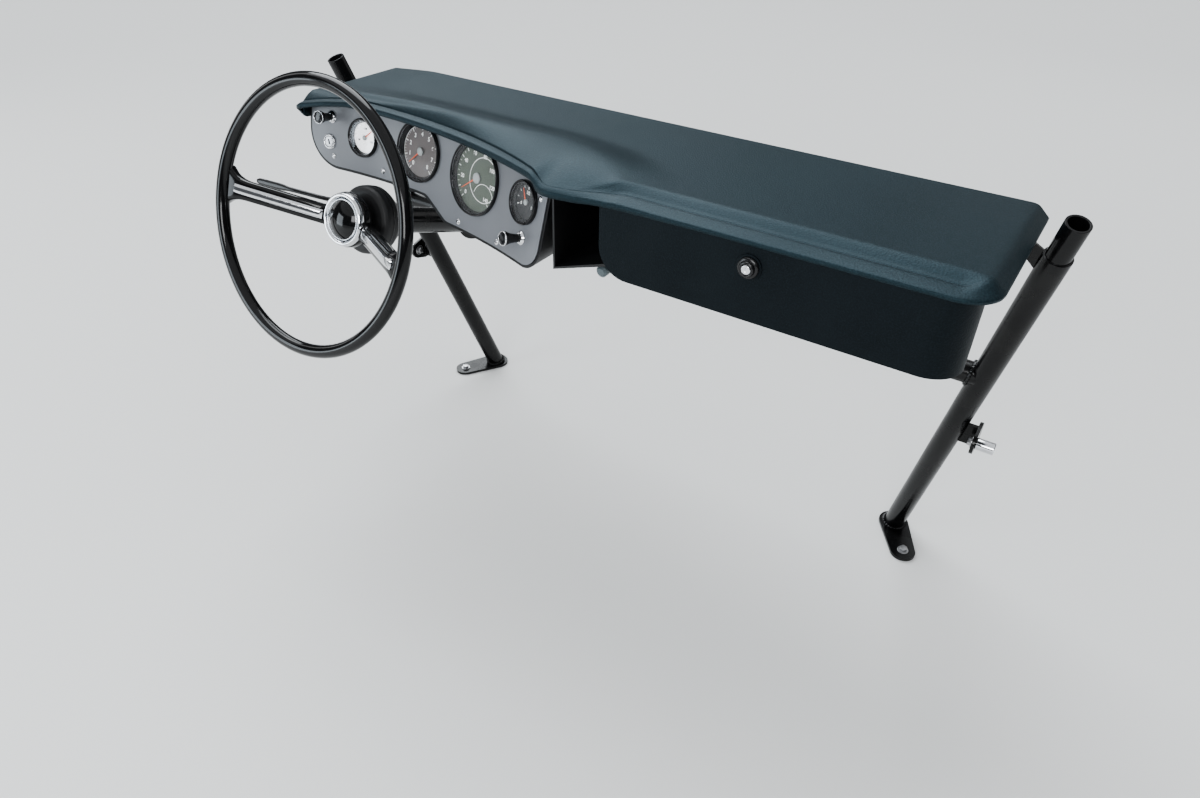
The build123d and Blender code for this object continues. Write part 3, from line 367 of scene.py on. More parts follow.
def lens_glass():
    """Thin flat glass: a mirror that is nearly clear face on and shows more from the side."""
    finish = Finish("lens_glass", (0.95, 0.97, 1), 0.03, metallic=1)
    aslant = finish.node("ShaderNodeLayerWeight", sockets={"Blend": 0.5}, output=1)
    dust = finish.noise(12, 5).above(0.58, 0.3)
    finish.feed("Alpha", 0.02 + 0.8 * aslant ** 4 + 0.015 * dust)
    finish.feed("Roughness", 0.02 + 0.06 * dust)
    return finish.material


GLASS = lens_glass()
print("finishes", len(bpy.data.materials))

# %% [markdown]
# ## Helpers that make meshes
# Round parts are spun from an outline, and long ones that change their section are lofted from
# station to station. What is sunk into a piece is cut by a Boolean that is applied at once, so
# that only plain meshes are left.

# %% Mesh helpers


def linked(name, data):
    """Object with this data in the scene."""
    obj = bpy.data.objects.new(name, data)
    bpy.context.scene.collection.objects.link(obj)
    return obj


def whole(bm):
    """All geometry of a mesh."""
    return bm.verts[:] + bm.edges[:] + bm.faces[:]


def open_edges(bm):
    """Edges with a face on one side only."""
    return [edge for edge in bm.edges if edge.is_boundary]


def spun(bm, steps):
    """Spin a wire section once round Z, merge the seam and the poles and face it outwards."""
    bmesh.ops.spin(bm, geom=bm.verts[:] + bm.edges[:], axis=(0, 0, 1), angle=math.tau, steps=steps,
                   use_merge=True)
    bmesh.ops.remove_doubles(bm, verts=bm.verts, dist=1e-6)
    bmesh.ops.recalc_face_normals(bm, faces=bm.faces)
    return bm


def hoop(radius, section_r, segments, steps):
    """Ring about Z with a round section, both radii in millimetres."""
    bm = bmesh.new()
    bmesh.ops.create_circle(bm, segments=segments, radius=section_r * MM)
    bmesh.ops.rotate(bm, verts=bm.verts, matrix=Matrix.Rotation(math.pi / 2, 3, "X"))
    bmesh.ops.translate(bm, vec=(radius * MM, 0, 0), verts=bm.verts)
    return spun(bm, steps)


def lofted(bm, sections):
    """Skin a row of closed sections, each given as its vertices."""
    loops = [list({edge for vert in section for edge in vert.link_edges}) for section in sections]
    for first, second in zip(loops, loops[1:]):
        bmesh.ops.bridge_loops(bm, edges=first + second)
    return bm


def turned(outline, soften=0, steps=96):
    """Spin an outline of (radius, height) in millimetres about Z, with its corners rounded."""
    bm = bmesh.new()
    line = [bm.verts.new((r * MM, 0, h * MM)) for r, h in outline]
    for pair in zip(line, line[1:]):
        bm.edges.new(pair)
    if soften:
        corners = [v for v in bm.verts if len(v.link_edges) == 2]
        bmesh.ops.bevel(bm, geom=corners, offset=soften * MM, segments=3, profile=0.5,
                        affect="VERTICES", clamp_overlap=True, material=-1)
    return spun(bm, steps)


def added(bm, other, matrix=None):
    """Copy another mesh into this one, at a place of its own."""
    mesh = bpy.data.meshes.new("copy")
    if matrix is not None:
        other = other.copy()
        other.transform(matrix)
    other.to_mesh(mesh)
    bm.from_mesh(mesh)
    bpy.data.meshes.remove(mesh)
    return bm


def block(size, middle=(0, 0, 0)):
    """Box with edges of these lengths about a middle, in millimetres."""
    bm = bmesh.new()
    bmesh.ops.create_cube(bm, size=MM)
    bmesh.ops.scale(bm, vec=size, verts=bm.verts)
    bmesh.ops.translate(bm, vec=[c * MM for c in middle], verts=bm.verts)
    return bm


def bevelled(bm, edges, radius, segments):
    """Round these edges off and return the mesh."""
    bmesh.ops.bevel(bm, geom=edges, offset=radius * MM, segments=segments, profile=0.5, affect="EDGES",
                    clamp_overlap=True, material=-1)
    return bm


def applied(obj):
    """Mesh of an object as its modifiers or its font make it; the object itself is removed."""
    bpy.context.view_layer.update()
    mesh = bpy.data.meshes.new_from_object(obj.evaluated_get(bpy.context.evaluated_depsgraph_get()))
    bm = bmesh.new()
    bm.from_mesh(mesh)
    bpy.data.meshes.remove(mesh)
    bpy.data.objects.remove(obj)
    return bm


def cut(bm, cutter):
    """Take one mesh away from another with an exact Boolean."""
    objects = []
    for part in (bm, cutter):
        mesh = bpy.data.meshes.new("part")
        part.to_mesh(mesh)
        part.free()
        objects.append(linked("part", mesh))
    boolean = objects[0].modifiers.new("cut", "BOOLEAN")
    boolean.object = objects[1]
    boolean.operation = "DIFFERENCE"
    boolean.solver = "EXACT"
    made = applied(objects[0])
    bpy.data.objects.remove(objects[1])
    return made


def on_line(points, x):
    """Height at x of a line through points."""
    for (x0, y0), (x1, y1) in zip(points, points[1:]):
        if x <= x1:
            return y0 + (y1 - y0) * max(0, x - x0) / (x1 - x0)
    return points[-1][1]


def soft_line(points, x, reach):
    """Height at x of a line through points, averaged over a reach either side so that it has no kinks."""
    return sum(on_line(points, x + reach * k / 3) for k in range(-3, 4)) / 7


print("mesh helpers ready")

# %% [markdown]
# A finished mesh becomes an object whose own origin is the frame's. It is told which body it
# rides on, which CAD pieces it stands for and which finish it wears. A CAD shape that is already
# right is copied, merged and given smooth shading, because the packed triangles are loose and
# would show as facets.


def piece(name, bm, material, place=None, body="dash", replaces=(), sharp=35, flat=False):
    """Make the mesh an object at the origin that rides on a body; large flat faces can stay flat."""
    if place is not None:
        bm.transform(place)
    for face in bm.faces:
        face.smooth = True
    for edge in bm.edges:
        edge.smooth = edge.calc_face_angle(0) < math.radians(sharp)
    mesh = bpy.data.meshes.new(name)
    bm.to_mesh(mesh)
    bm.free()
    mesh.materials.append(material)
    obj = linked(name, mesh)
    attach(obj, body)
    if replaces:
        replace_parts(obj, *replaces)
    if flat:
        shading = obj.modifiers.new("flat faces stay flat", "WEIGHTED_NORMAL")
        shading.keep_sharp = True
    return obj


def dressed(node, material, body="dash", sharp=30, soft_edge=0, trim=None):
    """Smooth-shaded copy of a CAD node; a plane can trim it and a Bevel modifier ease its corners."""
    bm = bmesh.new()
    bm.from_mesh(nodes[node].data)
    bmesh.ops.remove_doubles(bm, verts=bm.verts, dist=2e-6)
    bmesh.ops.dissolve_degenerate(bm, edges=bm.edges, dist=1e-7)
    if trim:
        point, upwards = trim
        bmesh.ops.bisect_plane(bm, geom=whole(bm), plane_co=point, plane_no=upwards, clear_outer=True)
        bmesh.ops.holes_fill(bm, edges=open_edges(bm))
    obj = piece(node + "_skin", bm, material, body=body, replaces=[node], sharp=sharp)
    if soft_edge:
        easing = obj.modifiers.new("eased edges", "BEVEL")
        easing.width = soft_edge * MM
        easing.segments = 2
        easing.limit_method = "ANGLE"
        easing.angle_limit = math.radians(40)
        easing.harden_normals = False
    return obj


# %% [markdown]
# ## The steering wheel
# The real wheel is a steel frame moulded over with hard plastic: a thin round rim, two dished
# arms that flare into it, and a shallow hub. The rim is a spun circle. Each arm is lofted: one
# section is repeated at stations from hub to rim, and bridge_loops skins them. Near the rim the
# stations bend to the rim's own curve, so that the flare flows into it.

# %% Rim
RIM_MIDDLE = 190
RIM_R = 10
rim = hoop(RIM_MIDDLE, RIM_R, 28, 192)
print("rim", 2 * (RIM_MIDDLE + RIM_R), "mm across and", 2 * RIM_R, "mm thick")

# %% Arms
ARM_DROP = 6.5            # the arms lie this far below the hub's middle
ARM_HALF = 15
FLARE_HALF = 33
FLARE_START = 148
ARM_THICK = 20
# the arms get thinner by this much, from this radius on, over this distance
ARM_THINS = 3
THIN_START = 120
THIN_RUN = 70
BAR_HALF = 7
BAR_START = 44
BAR_END = 168
# the front of an arm as (radius, depth behind the middle of the rim)
ARM_FRONT = [(10, 72.5), (40, 68), (52, 61), (100, 35.5), (146, 11), (160, 4.5), (172, 0.5), (208, -3.5)]
# half of an arm's section as (share of the half width, millimetres added to it, share of the depth)
ARM_SECTION = [(0, 0, 0), (0.25, 0, 0), (0.5, 0, 0), (1, -3, 0.02), (1, -1, 0.09), (1, 0, 0.24), (1, 0, 0.5),
               (1, -0.8, 0.76), (1, -3, 0.92), (0.6, 0, 1), (0, 0, 1)]


def arm_front(radius):
    """Depth of an arm's front at a radius, with the corners of its line smoothed."""
    return soft_line(ARM_FRONT, radius, 7)


def flare(radius):
    """How far along the flare a radius is, from 0 to 1 at the rim's middle."""
    return max(0, (radius - FLARE_START) / (RIM_MIDDLE - FLARE_START))


def arm_half(radius):
    """Half width of an arm at a radius."""
    return ARM_HALF + (FLARE_HALF - ARM_HALF) * flare(radius) ** 2.3


def arm(side):
    """One arm, lofted from the hub to the rim."""
    bm = bmesh.new()
    stations = [24 + 5 * k for k in range(27)] + [158 + 2.6 * k for k in range(12)]
    sections = []
    for radius in stations:
        half = arm_half(radius)
        front = arm_front(radius)
        thick = ARM_THICK - ARM_THINS * max(0, (radius - THIN_START) / THIN_RUN)
        bend = flare(radius)
        right = [(half * a + b, c) for a, b, c in ARM_SECTION]
        left = [(-across, c) for across, c in right[-2:0:-1]]
        made = bmesh.ops.create_circle(bm, segments=len(right) + len(left))["verts"]
        for vert, (across, depth) in zip(made, right + left):
            sag = radius - math.sqrt(radius ** 2 - across ** 2)
            y = (across + ARM_DROP) * MM
            vert.co = (side * (radius - bend * sag) * MM, y, (front + depth * thick) * MM)
        sections.append(made)
    lofted(bm, sections)
    bmesh.ops.recalc_face_normals(bm, faces=bm.faces)
    return bm


for side in (1, -1):
    added(rim, arm(side))
piece("wheel_rim_and_arms", rim, GLOSS, wheel, "steering", ["steering_wheel"])
print("rim and arms made")

# %% [markdown]
# The hub is spun, with a raised seat for the bright ring. The arms' bright bars are strips with
# a low crown: a grid is laid along the arm's front line, its edges are turned down, and solidify
# gives it the thickness of pressed metal.

# %% Hub, bars, ring and button
SMOOTH = 128          # steps round a large spun part
HUB = [(0, 72), (31, 72), (33, 69), (38.5, 69), (41, 72), (41.5, 80), (38, 88), (33, 94), (28, 96), (10, 96)]
piece("wheel_hub", turned(HUB, 1.2, SMOOTH), GLOSS, wheel, "steering")

BAR_CROWN = 2.6
BAR_SHEET = 1.2 * MM


def arm_bar(side):
    """Crowned bright strip that follows the arm's front."""
    bm = bmesh.new()
    bmesh.ops.create_grid(bm, x_segments=60, y_segments=10, size=0.5)
    for vert in bm.verts:
        along = vert.co.x + 0.5
        across = vert.co.y * 2
        radius = BAR_START + (BAR_END - BAR_START) * along
        ends = min(1, (along * (1 - along) * 60) ** 0.5)
        crown = BAR_CROWN * (1 - abs(across) ** 3.2) * ends + 0.2
        y = across * BAR_HALF + ARM_DROP
        vert.co = (side * radius * MM, y * MM, (arm_front(radius) - crown) * MM)
    bmesh.ops.recalc_face_normals(bm, faces=bm.faces)
    bmesh.ops.solidify(bm, geom=bm.faces, thickness=BAR_SHEET)
    bmesh.ops.recalc_face_normals(bm, faces=bm.faces)
    return bm


bars = arm_bar(1)
added(bars, arm_bar(-1))
piece("arm_bars", bars, CHROME, wheel, "steering", ["spoke_bars"])

RING = [(31.5, 70), (31.5, 66), (32.6, 63.6), (34.4, 61.8), (36.4, 61.6), (38.2, 62.8), (39.4, 65),
        (39.8, 67.5), (39.4, 70)]
piece("horn_ring_bright", turned(RING, 0.5, SMOOTH), CHROME, column, "steering", ["horn_ring"])


def dome(radius, rise, edge, base):
    """Outline of a domed button from its middle to its skirt."""
    ball = (radius ** 2 + rise ** 2) / (2 * rise)
    reach = math.asin(radius / ball)
    turns = [reach * k / 14 for k in range(15)]
    arc = [(ball * math.sin(turn), edge - rise + ball * (1 - math.cos(turn))) for turn in turns]
    return arc + [(radius, base)]


button = turned(dome(28.6, 9, 64, 70), 0, SMOOTH)
piece("horn_button_dome", button, GLOSS, column, "steering", ["horn_button"])
BUTTON_RIM = [(28.2, 70), (28.2, 64.6), (28.8, 63.3), (29.8, 63), (30.6, 63.8), (30.8, 66), (30.8, 70)]
piece("horn_button_rim", turned(BUTTON_RIM, 0.3, SMOOTH), CHROME, column, "steering")
print("hub, bars, ring and button made")

# %% [markdown]
# ## The column
# Under the wheel sits the round shroud of the indicator switch, and its thin lever with a flat
# thumb end. Below it are the enamelled tube, its rubber bush and the turned shaft. The lever is
# lofted like the arms: circles at stations, flattened towards the tip.

# %% Column
SHROUD = [(14.5, 103.5), (15, 102), (42, 102), (48, 104), (51.4, 108), (52, 112), (52, 128), (50.5, 131),
          (49, 133.5), (27.5, 164), (26, 167), (26, 172), (21.2, 172)]
piece("switch_shroud", turned(SHROUD, 1, SMOOTH), SATIN, column, replaces=["indicator_shroud"])
SEAM = [(52.15, 118.4), (52.4, 118.9), (52.4, 119.9), (52.15, 120.4)]
piece("shroud_seam", turned(SEAM, 0, SMOOTH), BEZEL, column)

COLUMN_END = 470
TUBE = [(19.2, 128), (21, 128), (21, COLUMN_END), (19.2, COLUMN_END), (19.2, 128.01)]
piece("column_tube_skin", turned(TUBE, 0, 64), ENAMEL, column, replaces=["column_tube"])

# stations of the lever as (x, y, z, half its height, half its thickness)
LEVER = [(-45, -14, 116.5, 3.9, 3.9), (-62, -14, 108.5, 3.7, 3.7), (-80, -14, 101, 3.5, 3.5),
         (-94, -13.9, 96.8, 3.5, 3.4), (-120, -13.5, 92.3, 3.6, 3.2), (-150, -13, 87.4, 3.8, 3),
         (-160, -12.9, 85.8, 5.2, 2.7), (-172, -12.7, 83.8, 5.6, 2.5), (-200, -12.2, 79.3, 5.6, 2.4),
         (-208, -12.1, 78, 5, 2.2), (-212.5, -12, 77.3, 3.2, 1.6)]


def stalk():
    """Thin lever that ends in a flat blade."""
    bm = bmesh.new()
    sections = []
    for x, y, z, tall, thick in LEVER:
        made = bmesh.ops.create_circle(bm, segments=24, radius=MM)["verts"]
        for vert in made:
            vert.co = (x * MM, y * MM + vert.co.y * tall, z * MM + vert.co.x * thick)
        sections.append(made)
    lofted(bm, sections)
    bmesh.ops.holes_fill(bm, edges=open_edges(bm))
    bmesh.ops.recalc_face_normals(bm, faces=bm.faces)
    return bm


piece("indicator_lever", stalk(), KNOB, column, replaces=["indicator_stalk"])
dressed("steering_shaft", STEEL, "steering")
dressed("column_bearings", BRONZE)
dressed("column_bush", RUBBER)
print("column made")

# %% [markdown]
# ## The padded top
# The top is a formed skin over foam. Along its front runs a flat lip with a soft nose; behind the
# lip is a crease, and from there the pad swells up to the flat top and, over the instruments, to a
# hood. At the left end a short skirt hangs down. A grid is the right start, because every height
# can then be worked out from the plan. The plan comes first: where the front edge runs, how its
# corners are rounded, and how far in from an edge a place lies.

# %% Plan of the top
TOP_LEFT = -521
TOP_RIGHT = 543
TOP_REAR = -97
TOP_Z = 677
REAR_LOW_Z = 668
# the front edge of the right-hand lip as (x, y): beside the instruments it comes to a nose
LIP_FRONT = [(8, -379.5), (30, -380), (58, -375.5), (86, -368.5), (112, -364.2), (145, -362.8), (240, -362.2)]
HOOD_R = 952.1
LEFT_CORNER_R = 24
RIGHT_CORNER_R = 42
BAND = 22


def smooth(share):
    """Soft step from 0 to 1."""
    share = min(1, max(0, share))
    return share * share * (3 - 2 * share)


def lip_line(x):
    """Y of the front edge at x: the instruments' curve, then the right-hand lip."""
    hood = CONE_Y / MM + math.sqrt(HOOD_R ** 2 - min(HOOD_R, abs(x - CONE_X / MM)) ** 2)
    straight = soft_line(LIP_FRONT, x, 12)
    gap = hood - straight
    blend = 2.5
    return straight + (gap + math.sqrt(gap * gap + blend * blend)) / 2


def corner_line(x):
    """Y of the front edge at x with the two corners rounded off."""
    past_left = TOP_LEFT + LEFT_CORNER_R - x
    past_right = x - (TOP_RIGHT - RIGHT_CORNER_R)
    line = lip_line(x)
    for past, radius in ((past_left, LEFT_CORNER_R), (past_right, RIGHT_CORNER_R)):
        if past > 0:
            line += radius - math.sqrt(max(0, radius ** 2 - past ** 2))
    return line


def slant(x):
    """Length of the front edge per millimetre of x."""
    slope = (lip_line(x + 2) - lip_line(x - 2)) / 4
    return math.sqrt(1 + slope * slope)


def edge_place(x, y):
    """Distance in from the front, from the nearest edge, and how far that edge has turned to an end."""
    front = (y - lip_line(x)) / slant(x)
    for side, radius in ((x - TOP_LEFT, LEFT_CORNER_R), (TOP_RIGHT - x, RIGHT_CORNER_R)):
        if side < radius:
            if front > radius:
                return front, side, 1
            turn = math.atan2(radius - side, radius - front) / (math.pi / 2)
            return front, radius - math.hypot(radius - side, radius - front), turn
    return front, front, 0


print("front edge at the middle", round(lip_line(0), 1), "mm")

# %% [markdown]
# The heights come from a few lines that were read off the real top: how the lip rolls over, how
# wide it is along the front, and where the hood's ridge runs and how high it stands. A place in
# front of the ridge lies on a rounded slope between the crease and the ridge, and behind it the
# ridge fades into the flat.

# %% Lines of the top
# depth of the skin below the flat top at the lip and at an end, by distance in from the outline
LIP_ROLL = [(0, 14.4), (0.6, 13.4), (2, 12.5), (8, 10.9), (14, 9.6), (19, 8.8), (21, 8.9), (22, 9.1),
            (23.2, 8.3), (27, 6.9), (31, 4.7), (35, 2.6), (38, 1.2), (40, 0.5), (42, 0)]
END_ROLL = [(0, 14.4), (1, 13.2), (4, 10.6), (8, 6.9), (12, 3.3), (15, 1.3), (19, 0.3), (24, 0)]
# height of the lip over the instruments, up to its crease
CREASE = 23.2
HOOD_LIP = [(0, 671.5), (0.8, 673.6), (2.5, 675.6), (8, 676.8), (14, 677.3), (19, 677.4), (21, 676.4),
            (22, 675.9), (CREASE, 678.6)]
# the hood's higher lip fades out from this x over this distance
FADE_START, FADE = -12, 30
# width of the lip at x: it narrows towards the nose
BANDS = [(-521, 15), (-150, 16), (-75, 13.5), (-24, 10.5), (0, 8.5), (14, 7), (45, 8), (70, 11), (94, 17),
         (120, 21), (150, 22), (543, 22)]
# the ridge behind the hood's slope as (x, y), then its height above the flat top as (x, height)
RIDGE_LINE = [(-570, -274), (-52, -277), (-12, -280.5), (26, -287.5), (55, -297), (76, -308), (92, -320),
              (103, -332), (110, -343), (122, -366)]
RIDGE_RISE = [(-570, 2), (-470, 2.5), (-440, 3.5), (-380, 7.5), (-300, 12), (-231, 14), (-52, 14.5),
              (-12, 14.2), (26, 13), (55, 10.4), (76, 7), (92, 3.4), (103, 1), (112, 0), (140, 0)]
# where the ridge ends at the right, how far behind it the top falls back to the flat, and how
# round the slope in front of it is
RIDGE_END = 108
RIDGE_FALL = 72
SLOPE_ROUND = 1.9
# height of the wall's lower edge along x
LOWER_EDGE = [(-521, 648.5), (-500, 652.5), (-458, 661), (-403, 669), (-4, 669), (7, 657), (68, 656.8),
              (80, 657.6), (165, 657.8), (240, 658.8), (543, 659.5)]
# how far the lip droops towards the left end, and how far the flat top sinks there
DROOP = [(-521, 20), (-500, 16.5), (-458, 8), (-403, 0), (543, 0)]
LEFT_FALL = [(-521, 8), (-500, 7), (-470, 4.5), (-440, 1.8), (-415, 0), (543, 0)]
# reach, in millimetres, over which these lines are softened
SOFT = 12
BROAD = 14
print("ridge", RIDGE_END - TOP_LEFT, "mm long")

# %% Heights of the top


def lip_share(x):
    """How much of the hood's higher lip is left at x."""
    return 1 - smooth((x - FADE_START) / FADE)


def band_level(x, inward):
    """Distance in from the edge as if the lip were as broad here as it is at the right-hand end."""
    band = soft_line(BANDS, x, BROAD)
    return inward * BAND / band if inward < band else inward + BAND - band


def flat_height(x, y):
    """Height of the skin without the hood."""
    front, inward, turn = edge_place(x, y)
    lip = on_line(LIP_ROLL, band_level(x, inward))
    flat = TOP_Z - soft_line(LEFT_FALL, x, SOFT)
    return flat - lip * (1 - smooth(turn)) - on_line(END_ROLL, inward) * smooth(turn)


RIDGE = []
for step in range(-93, 19):
    ridge_x = min(RIDGE_END, step * 6)
    RIDGE.append((ridge_x, soft_line(RIDGE_LINE, ridge_x, SOFT), soft_line(RIDGE_RISE, ridge_x, BROAD)))


def ridge_near(x, y):
    """Distance to the ridge, and at its nearest point how far it stands out and the skin's height."""
    best = None
    for (x0, y0, h0), (x1, y1, h1) in zip(RIDGE, RIDGE[1:]):
        run = Vector((x1 - x0, y1 - y0))
        share = min(1, max(0, Vector((x - x0, y - y0)).dot(run) / run.length_squared))
        away = math.hypot(x - x0 - run.x * share, y - y0 - run.y * share)
        if best is None or away < best[0]:
            best = (away, h0 + (h1 - h0) * share, x0 + run.x * share, y0 + run.y * share)
    away, rise, near_x, near_y = best
    return away, rise, flat_height(near_x, near_y) + rise


def top_height(x, y):
    """Height of the skin at a place in the plan."""
    front, inward, turn = edge_place(x, y)
    flat = flat_height(x, y)
    away, rise, ridge_z = ridge_near(x, y)
    in_front = x < RIDGE_END and y < soft_line(RIDGE_LINE, x, SOFT)
    if not in_front:
        return flat + rise * (1 - smooth(away / RIDGE_FALL))
    level = band_level(x, front)
    share = lip_share(x)
    droop = soft_line(DROOP, x, SOFT)
    lip = on_line(HOOD_LIP, level) - droop
    end_drop = on_line(END_ROLL, inward) * smooth(turn)
    low_lip = TOP_Z - on_line(LIP_ROLL, level)
    lip = low_lip + (lip - low_lip) * share
    if level > CREASE:
        crease = TOP_Z - on_line(LIP_ROLL, CREASE)
        crease += (HOOD_LIP[-1][1] - droop - crease) * share
        along = (level - CREASE) / (level - CREASE + away)
        lip = crease + (ridge_z - crease) * (1 - (1 - along) ** SLOPE_ROUND)
    return lip - end_drop


print("top of the hood", round(max(flat_height(x, y) + rise for x, y, rise in RIDGE), 1), "mm")

# %% [markdown]
# The grid's columns run from the front edge to the rear. Its rows crowd together at the lip and
# its columns at the ends, where the shape changes fastest. The outline is then extruded down to
# make the wall, and a Solidify modifier gives the skin its thickness.

# %% Skin of the top


def spaced(count, dense):
    """Places from 0 to 1 that crowd together at both ends."""
    shares = [k / count for k in range(count + 1)]
    return [(1 - dense) * share + dense * (1 - math.cos(math.pi * share)) / 2 for share in shares]


# rows of the grid over the lip, by their distance in from the edge; the rest are spread to the rear
LIP_ROWS = [0, 0.3, 0.8, 1.5, 2.5, 4, 6, 8.5, 11, 13.5, 16, 18, 19.3, 20.3, 21.1, 21.7, 22.2, 22.7, 23.2,
            23.8, 24.6, 25.6, 27, 28.6, 30.4, 32.4, 34.6]
OTHER_ROWS = 54
COLUMNS = 260
CROWDING = 0.62
LEAST_WALL = 3 * MM
SKIN = 4 * MM
# share of the distance to the rear that the rows take in even steps; the rest widens towards it
EVEN = 0.45


def row_place(x, row):
    """Y of a row of the grid at x."""
    band = soft_line(BANDS, x, BROAD)
    last = min(row, len(LIP_ROWS) - 1)
    level = LIP_ROWS[last]
    inward = level * band / BAND if level < BAND else level - BAND + band
    y = corner_line(x) + inward * slant(x)
    beyond = (row - last) / OTHER_ROWS
    return y + (TOP_REAR - y) * (EVEN * beyond + (1 - EVEN) * beyond * beyond)


# lower edge of the wall at the left end as (y, z): a short skirt hangs from it
SKIRT = [(-306, 651), (-297, 646), (-291, 634), (-283, 629.5), (-240, 629), (-232, 633), (-227, 640),
         (-224, 651)]


def lower_edge(x, y):
    """Height of the lower edge of the skin's wall at a place on its outline."""
    if y > TOP_REAR - 1:
        return REAR_LOW_Z
    if x > TOP_LEFT + LEFT_CORNER_R:
        return on_line(LOWER_EDGE, x)
    return min(on_line(LOWER_EDGE, x), on_line(SKIRT, y))


def top_skin():
    """Grid pulled into the shape of the top, with its walls drawn down."""
    rows = len(LIP_ROWS) - 1 + OTHER_ROWS
    bm = bmesh.new()
    bmesh.ops.create_grid(bm, x_segments=COLUMNS, y_segments=rows, size=0.5)
    across = spaced(COLUMNS, CROWDING)
    for vert in bm.verts:
        x = TOP_LEFT + (TOP_RIGHT - TOP_LEFT) * across[round((vert.co.x + 0.5) * COLUMNS)]
        y = row_place(x, round((vert.co.y + 0.5) * rows))
        vert.co = (x * MM, y * MM, top_height(x, y) * MM)
    wall = bmesh.ops.extrude_edge_only(bm, edges=open_edges(bm))["geom"]
    for vert in (v for v in wall if isinstance(v, bmesh.types.BMVert)):
        vert.co.z = min(lower_edge(vert.co.x / MM, vert.co.y / MM) * MM, vert.co.z - LEAST_WALL)
    bmesh.ops.recalc_face_normals(bm, faces=bm.faces)
    bm.faces.ensure_lookup_table()
    inner_face = bm.faces[len(bm.faces) // 3]
    if inner_face.normal.z < 0:
        bmesh.ops.reverse_faces(bm, faces=bm.faces)
    return bm


top = piece("padded_top", top_skin(), VINYL, replaces=["dash_top", "dash_lip"], sharp=70)
shell = top.modifiers.new("wall", "SOLIDIFY")
shell.thickness = SKIN
shell.offset = -1
print("top", len(top.data.polygons), "faces")

# %% [markdown]
# ## The glovebox lid and its lock
# The lid is a box to begin with. One upright edge gets a broad bevel, where the lid wraps round
# the end of the dash, and one corner of its face is rounded by another. The rim of the face then
# gets a soft bevel. The hollow behind is a second, smaller box of the same make, taken away by an
# exact Boolean, which leaves the walls of a shallow pan. Two more cuts trim the straight walls to
# the lid's depth and round the inside of its wrapped end.

# %% Lid
LID_WALL = 3
LID_SOFT = 9
LID_DEPTH = 14
LID_WRAP_R = 40
LID_CORNER_R = 40
LID_BOTTOM = 566
LID_TOP = 658.2
lid_low, lid_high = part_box("glovebox_lid")
LID_BOX = (lid_low.x / MM, lid_high.x / MM, lid_low.y / MM, LID_BOTTOM, LID_TOP)
NEAR = 0.1            # how close to a face, in millimetres, counts as on it
BEYOND = 5            # how far a cutter reaches past the lid


def between(left, right, front, back, low, high):
    """Box between two corners, in millimetres."""
    size = (right - left, back - front, high - low)
    return block(size, ((left + right) / 2, (front + back) / 2, (low + high) / 2))


def rounded(bm, picked, radius):
    """Bevel the edges that a test on their two ends picks."""
    edges = [edge for edge in bm.edges if all(picked(vert.co / MM) for vert in edge.verts)]
    bevelled(bm, edges, radius, 24)


def lid_block(inset):
    """Solid shape of the lid, drawn in by inset all round but at the back."""
    left, right, front, low, high = LID_BOX
    left, right, front, low, high = left + inset, right - inset, front + inset, low + inset, high - inset
    back = LID_BOX[2] + LID_WRAP_R + 1
    bm = between(left, right, front, back, low, high)
    rounded(bm, lambda co: co.x > right - NEAR and co.y < front + NEAR, LID_WRAP_R - inset)
    rounded(bm, lambda co: co.x < left + NEAR and co.z < low + NEAR, LID_CORNER_R - inset)
    if inset == 0:
        bend = right - LID_WRAP_R

        def on_face_rim(co):
            in_front = co.y < front + NEAR or (co.x > bend - NEAR and co.y < back - 0.9)
            return in_front and co.z < high - NEAR

        rim_edges = []
        for edge in bm.edges:
            ends = [vert.co / MM for vert in edge.verts]
            faces = [face.normal for face in edge.link_faces]
            turn = faces[0].dot(faces[1]) < 0.8
            if turn and all(on_face_rim(co) for co in ends):
                rim_edges.append(edge)
            elif turn and all(co.y < front + NEAR and co.x < left + NEAR for co in ends):
                rim_edges.append(edge)
        bevelled(bm, rim_edges, LID_SOFT, 7)
    return bm


def lid_pan():
    """Shallow pan that wraps round the end of the dash."""
    left, right, front, low, high = LID_BOX
    pan = cut(lid_block(0), lid_block(LID_WALL))
    bend, rear = right - LID_WRAP_R, front + LID_DEPTH
    low, high = low - BEYOND, high + BEYOND
    pan = cut(pan, between(left - BEYOND, bend, rear, rear + LID_WRAP_R, low, high))
    core_r = LID_WRAP_R - LID_WALL - 1
    core = turned([(0, low), (core_r, low), (core_r, high), (0, high)])
    bmesh.ops.translate(core, vec=(bend * MM, (front + LID_WRAP_R) * MM, 0), verts=core.verts)
    bmesh.ops.bisect_plane(core, geom=whole(core), plane_co=(0, rear * MM, 0), plane_no=(0, -1, 0),
                           clear_outer=True)
    bmesh.ops.holes_fill(core, edges=open_edges(core))
    bmesh.ops.recalc_face_normals(core, faces=core.faces)
    return cut(pan, core)


piece("lid_skin", lid_pan(), LID, body="lid", replaces=["glovebox_lid"], flat=True)
print("lid", round(LID_BOX[1] - LID_BOX[0]), "mm wide and", round(LID_TOP - LID_BOTTOM), "mm high")

# %% [markdown]
# The lock is a turned knob with a flange at its foot and a bright face. The key slot is a small
# box, taken away from the face, and the same helper makes the ignition lock's face later.

